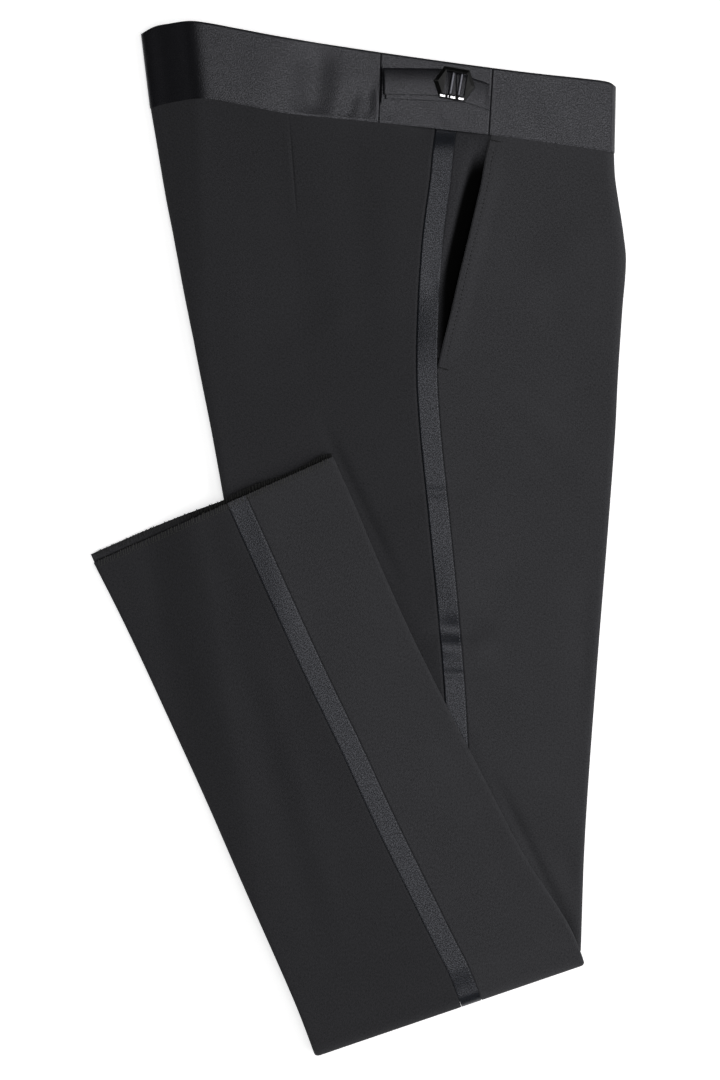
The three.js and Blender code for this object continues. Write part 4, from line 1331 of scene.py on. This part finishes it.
def outline(corners, inset, angles):
    """Convex outline in polar form: along each ray, the nearest edge line moved in by the inset."""
    corners = np.array(corners, float)
    after = np.roll(corners, -1, axis=0)
    run = after - corners
    normal = np.stack((run[:, 1], -run[:, 0]), axis=1) / np.linalg.norm(run, axis=1, keepdims=True)
    offset = (normal * corners).sum(axis=1) - inset
    rays = np.stack((np.cos(angles), np.sin(angles)), axis=1)
    facing = rays @ normal.T
    reach = np.where(facing > 1e-6, offset / np.maximum(facing, 1e-6), 1e9).min(axis=1)
    return rays * reach[:, None]


def ringed(name, rings, closed, material, sharp=22.0):
    """A solid through rings of points; closed rings wrap round into a frame."""
    points = np.concatenate(rings)
    count = len(rings[0])
    index = np.arange(len(points)).reshape(len(rings), count)
    index = np.concatenate((index, index[:, :1]), axis=1)
    if closed:
        index = np.concatenate((index, index[:1]), axis=0)
    faces = grid_faces(index)
    points = points * MM
    return make_object(name, points, outward(points, faces), None, material, sharp)


wide, high, shoulder = BUCKLE["half_width"], BUCKLE["half_height"], BUCKLE["shoulder"]
HEXAGON = [(-wide, 0.0), (-shoulder, -high), (shoulder, -high)]
HEXAGON += [(wide, 0.0), (shoulder, high), (-shoulder, high)]
left, right, half = BUCKLE["window"]
WINDOW = [(left, -half), (right, -half), (right, half), (left, half)]
corner_angles = [math.atan2(y, x) for x, y in HEXAGON + WINDOW]
even_angles = np.linspace(-math.pi, math.pi, 96, endpoint=False)
RAYS = np.unique(np.concatenate((even_angles, corner_angles)))


def buckle_ring(corners, inset, z):
    """A ring of the buckle's section: its outline moved in by the inset, at one height."""
    flat = outline(corners, inset, RAYS)
    return on_buckle(flat[:, 0], flat[:, 1], np.full(len(flat), z))


buckle = ringed("adjuster_buckle_frame", [
    buckle_ring(HEXAGON, 0.15, 0.1),
    buckle_ring(HEXAGON, 0.0, 0.3),
    buckle_ring(HEXAGON, 0.0, 0.8),
    buckle_ring(HEXAGON, 0.25, 1.05),
    buckle_ring(HEXAGON, 2.6, BUCKLE["plate"]),
    buckle_ring(WINDOW, -0.4, BUCKLE["plate"]),
    buckle_ring(WINDOW, -0.1, 1.85),
    buckle_ring(WINDOW, 0.0, 1.5),
    buckle_ring(WINDOW, 0.0, 0.1),
], True, enamel)
dress(buckle, "buckle", "adjuster_buckle")

bar_y = np.linspace(-8.4, 8.4, 24)
bar_paths = np.stack([on_buckle(np.full(24, x), bar_y, np.full(24, 1.15)) for x in BUCKLE["bars"]])
bar_size = np.sqrt(np.clip(1.0 - (np.abs(bar_y) / 8.5) ** 16, 0.05, 1.0))
bars = threads("adjuster_buckle_bars", bar_paths, 1.15, gunmetal, 20, bar_size)
dress(bars, "buckle")


def bright_pad(start, end):
    """A small polished facet on the buckle's lower edge: a rectangle with bevelled sides."""
    middle = (start + end) / 2
    half_long = (end - start) / 2
    corners = [(-half_long, -1.1), (half_long, -1.1), (half_long, 1.1), (-half_long, 1.1)]
    angles = np.linspace(-math.pi, math.pi, 24, endpoint=False)
    rings = []
    last = min(1.05, half_long - 0.05)
    for inset, z in ((0.0, 1.0), (0.0, 1.5), (0.25, 1.85), (0.6, 1.92), (last, 1.93)):
        flat = outline(corners, inset, angles)
        rings.append(on_buckle(flat[:, 0] + middle, flat[:, 1] - 9.9, np.full(24, z)))
    return rings


BRIGHT_SPOTS = ((-9.2, -4.9), (-3.6, -2.4), (-1.6, 2.5), (4.2, 8.6))
for number, (start, end) in enumerate(BRIGHT_SPOTS):
    pad = ringed(f"adjuster_buckle_bright_{number + 1}", bright_pad(start, end), False, nickel)
    dress(pad, "buckle")


# Sewing: lengths of the two stretches of the leg, and the pitch and length of a stitch
LEG_LONG = 675.0
TURNED_LONG = 365.0
STITCH_PITCH = 2.6
STITCH_LONG = 1.7
PICK_PITCH = 3.4
PICK_LONG = 1.3


def stitch_paths(down, across, length, bump=0.1, sink=0.16, at_maker=None, place=None, deep=None):
    """Short stitches along the cloth: five points each, rising from the cloth and back into it."""
    steps = np.linspace(-0.5, 0.5, 5)
    rise = np.array((sink, -bump, -1.3 * bump, -bump, sink))
    param = (down[:, None] + steps[None, :] * length).ravel()
    at = at_maker(param)
    where = across(at)
    depth = deep(at, where) + np.tile(rise, len(down))[:, None]
    return place(at, where, depth).reshape(len(down), 5, 3)


def leg_up(param):
    return leg_stations(param, True)


def stripe_edge(at):
    """The stitch line, 1 mm in from the stripe's folded edge."""
    return at["seam"] + STRIPE_WIDTH - 1.0


downs = np.arange(0.279, 0.80, STITCH_PITCH / LEG_LONG)
edge_stitches = stitch_paths(
    downs, stripe_edge, STITCH_LONG / LEG_LONG,
    at_maker=leg_up, place=place_upper, deep=lambda at, x: stripe_deep(at, x) - 0.12,
)
dress(threads("stripe_stitches_right", edge_stitches, 0.24, sewing_thread), "satin")
ups = np.arange(0.02, 0.985, STITCH_PITCH / TURNED_LONG)
edge_stitches = stitch_paths(
    ups, stripe_edge, STITCH_LONG / TURNED_LONG,
    at_maker=turned_stations, place=place_turned, deep=stripe_deep,
)
dress(threads("stripe_stitches_left", edge_stitches, 0.22, sewing_thread), "satin")


def front_lift(at, across):
    """Relief of the front panel beside the open pocket, at a place across."""
    lifted = read(POCKET, "down", "lift", at["down"])
    edge = at["pocket"] + SEAM_GAP / 2
    return 0.15 - lifted * (1.0 - smooth(across - edge, 2.0, 16.0))


picks = np.arange(0.022, 0.26, PICK_PITCH / LEG_LONG)
pick_stitches = stitch_paths(
    picks, lambda at: at["pocket"] + 5.2, PICK_LONG / LEG_LONG, bump=0.12, sink=0.1,
    at_maker=leg_up, place=place_upper, deep=front_lift,
)
dress(threads("pocket_pick_stitches", pick_stitches, 0.3, pick_thread), "wool")


def bar_tack(name, start, end, base):
    """A bar tack: close wraps across a short line, from one plan place (down, across) to another."""
    share = np.linspace(0.0, 1.0, 26)[:, None]
    side = np.linspace(-0.55, 0.55, 5)[None, :]
    down = mix(start[0], end[0], share) + side / LEG_LONG
    across = mix(start[1], end[1], share) + 0.25 * side
    at = leg_stations(down.ravel(), True)
    depth = front_lift(at, across.reshape(-1, 1)) + base
    depth = depth + np.tile((0.25, -0.12, -0.2, -0.12, 0.25), 26)[:, None]
    paths = place_upper(at, across.reshape(-1, 1), depth).reshape(26, 5, 3)
    return dress(threads(name, paths, 0.18, pick_thread), "wool")


bar_tack("pocket_bar_top", (0.0066, 245.6), (0.0082, 252.6), 0.0)
bar_tack("pocket_bar_end", (0.2726, 171.6), (0.2764, 180.0), -0.1)


def hem_wraps(name, pitch, edge, base, material, seed):
    """Overlock: slanting thread wraps that lie on the cloth, turn over its edge and pass beneath."""
    rng = np.random.default_rng(seed)
    width = float(turned_stations([1.0])["width"][0, 0])
    starts = np.arange(3.4, width - 3.8, pitch)
    starts = starts + rng.uniform(-0.5, 0.5, len(starts))
    count = len(starts)
    in_from_edge = np.array((3.9, 2.9, 1.8, 0.8, 0.0, -0.22, 0.1, 1.2))
    depth = np.array((0.12, -0.14, -0.17, -0.16, -0.13, 0.35, 0.92, 1.0))
    slant = np.array((0.0, 0.3, 0.6, 0.9, 1.1, 1.2, 1.3, 1.6))
    steps = len(slant)
    across = (starts[:, None] + slant[None, :]).reshape(-1, 1)
    end = turned_stations(np.ones(count * steps))
    beyond = edge(across / width) - np.tile(in_from_edge, count)[:, None]
    end["beyond"] = beyond + np.repeat(rng.uniform(-0.5, 0.5, count), steps)[:, None]
    deep = base + np.tile(depth, count)[:, None]
    paths = place_turned(end, across, deep).reshape(count, steps, 3)
    return dress(threads(name, paths, 0.22, material), "wool")


def hem_chain(name, pitch, edge, base, material):
    """The overlock's straight needle line, short stitches along the hem."""
    width = float(turned_stations([1.0])["width"][0, 0])
    starts = np.arange(3.4, width - 4.0, pitch)
    steps = np.linspace(0.0, 0.8 * pitch, 5)
    across = (starts[:, None] + steps[None, :]).reshape(-1, 1)
    end = turned_stations(np.ones(len(across)))
    end["beyond"] = edge(across / width) - 4.0
    deep = base + np.tile((0.15, -0.1, -0.13, -0.1, 0.15), len(starts))[:, None]
    paths = place_turned(end, across, deep).reshape(len(starts), 5, 3)
    return dress(threads(name, paths, 0.17, material), "wool")


def left_hem(share):
    """The left hem is straight."""
    return 0.0 * share


def right_hem(share):
    """The right hem peeks out past the left one by the table's amounts."""
    return read(HEM_PEEK, "share", "beyond", share)


hem_base = float(2 * turned_stations([1.0])["back_thick"][0, 0] + SEAM_GAP + 0.15)
hem_wraps("hem_overlock_left", 1.7, left_hem, 0.0, overlock_thread, 3)
hem_chain("hem_needle_line_left", 2.4, left_hem, 0.0, overlock_thread)
hem_wraps("hem_overlock_right", 1.3, right_hem, hem_base, overlock_painted_shade, 5)

# Camera straight above, as in the photo: its place, its height over the cloth and the
# height of the picture, 1080 photo pixels of 0.72 mm
CAMERA_PLACE = (0.0007, -0.0011, 2.3)
CAMERA_FAR = 2.29
PICTURE_HIGH = 0.7776
SENSOR_HIGH = 36.0
camera_data = bpy.data.cameras.new("camera")
camera = bpy.data.objects.new("camera", camera_data)
bpy.context.scene.collection.objects.link(camera)
camera.location = CAMERA_PLACE
camera_data.sensor_fit = "VERTICAL"
camera_data.sensor_height = SENSOR_HIGH
camera_data.lens = SENSOR_HIGH * CAMERA_FAR / PICTURE_HIGH
bpy.context.scene.camera = camera

# Floor and light
bpy.ops.mesh.primitive_plane_add(size=4.0, location=(0.0, 0.0, -0.0004))
floor = bpy.context.object
floor.name = "floor"
floor.data.materials.append(floor_paper)


def area_light(name, place, target, size, power):
    """A rectangular softbox at a place, turned to face its target, with its power in watts."""
    light = bpy.data.lights.new(name, "AREA")
    light.shape = "RECTANGLE"
    light.size, light.size_y = size
    light.energy = power
    lamp = bpy.data.objects.new(name, light)
    bpy.context.scene.collection.objects.link(lamp)
    lamp.location = place
    away = np.array(place) - np.array(target)
    level = math.hypot(away[0], away[1])
    heading = math.atan2(away[0], -away[1]) if level > 1e-9 else 0.0
    lamp.rotation_euler = (math.atan2(level, away[2]), 0.0, heading)


# One softbox above the cloth, which the satin mirrors, a big one to the right for the wool,
# and a small one low at the hem end
area_light("softbox_right", (1.95, 0.0, 1.15), (0.0, 0.0, 0.0), (2.0, 2.0), 34.0)
area_light("softbox_low", (-0.8, -2.0, 1.2), (0.0, 0.0, 0.0), (1.4, 0.8), 8.0)
area_light("softbox_above", (0.33, 0.04, 2.9), (0.33, 0.04, 0.0), (1.6, 2.55), 35.5)
world = bpy.data.worlds.new("studio")
bpy.context.scene.world = world
world.use_nodes = True
backdrop = world.node_tree.nodes["Background"]
backdrop.inputs["Color"].default_value = (1.0, 1.0, 1.0, 1.0)
backdrop.inputs["Strength"].default_value = 0.02

bpy.context.scene.view_settings.view_transform = "Standard"
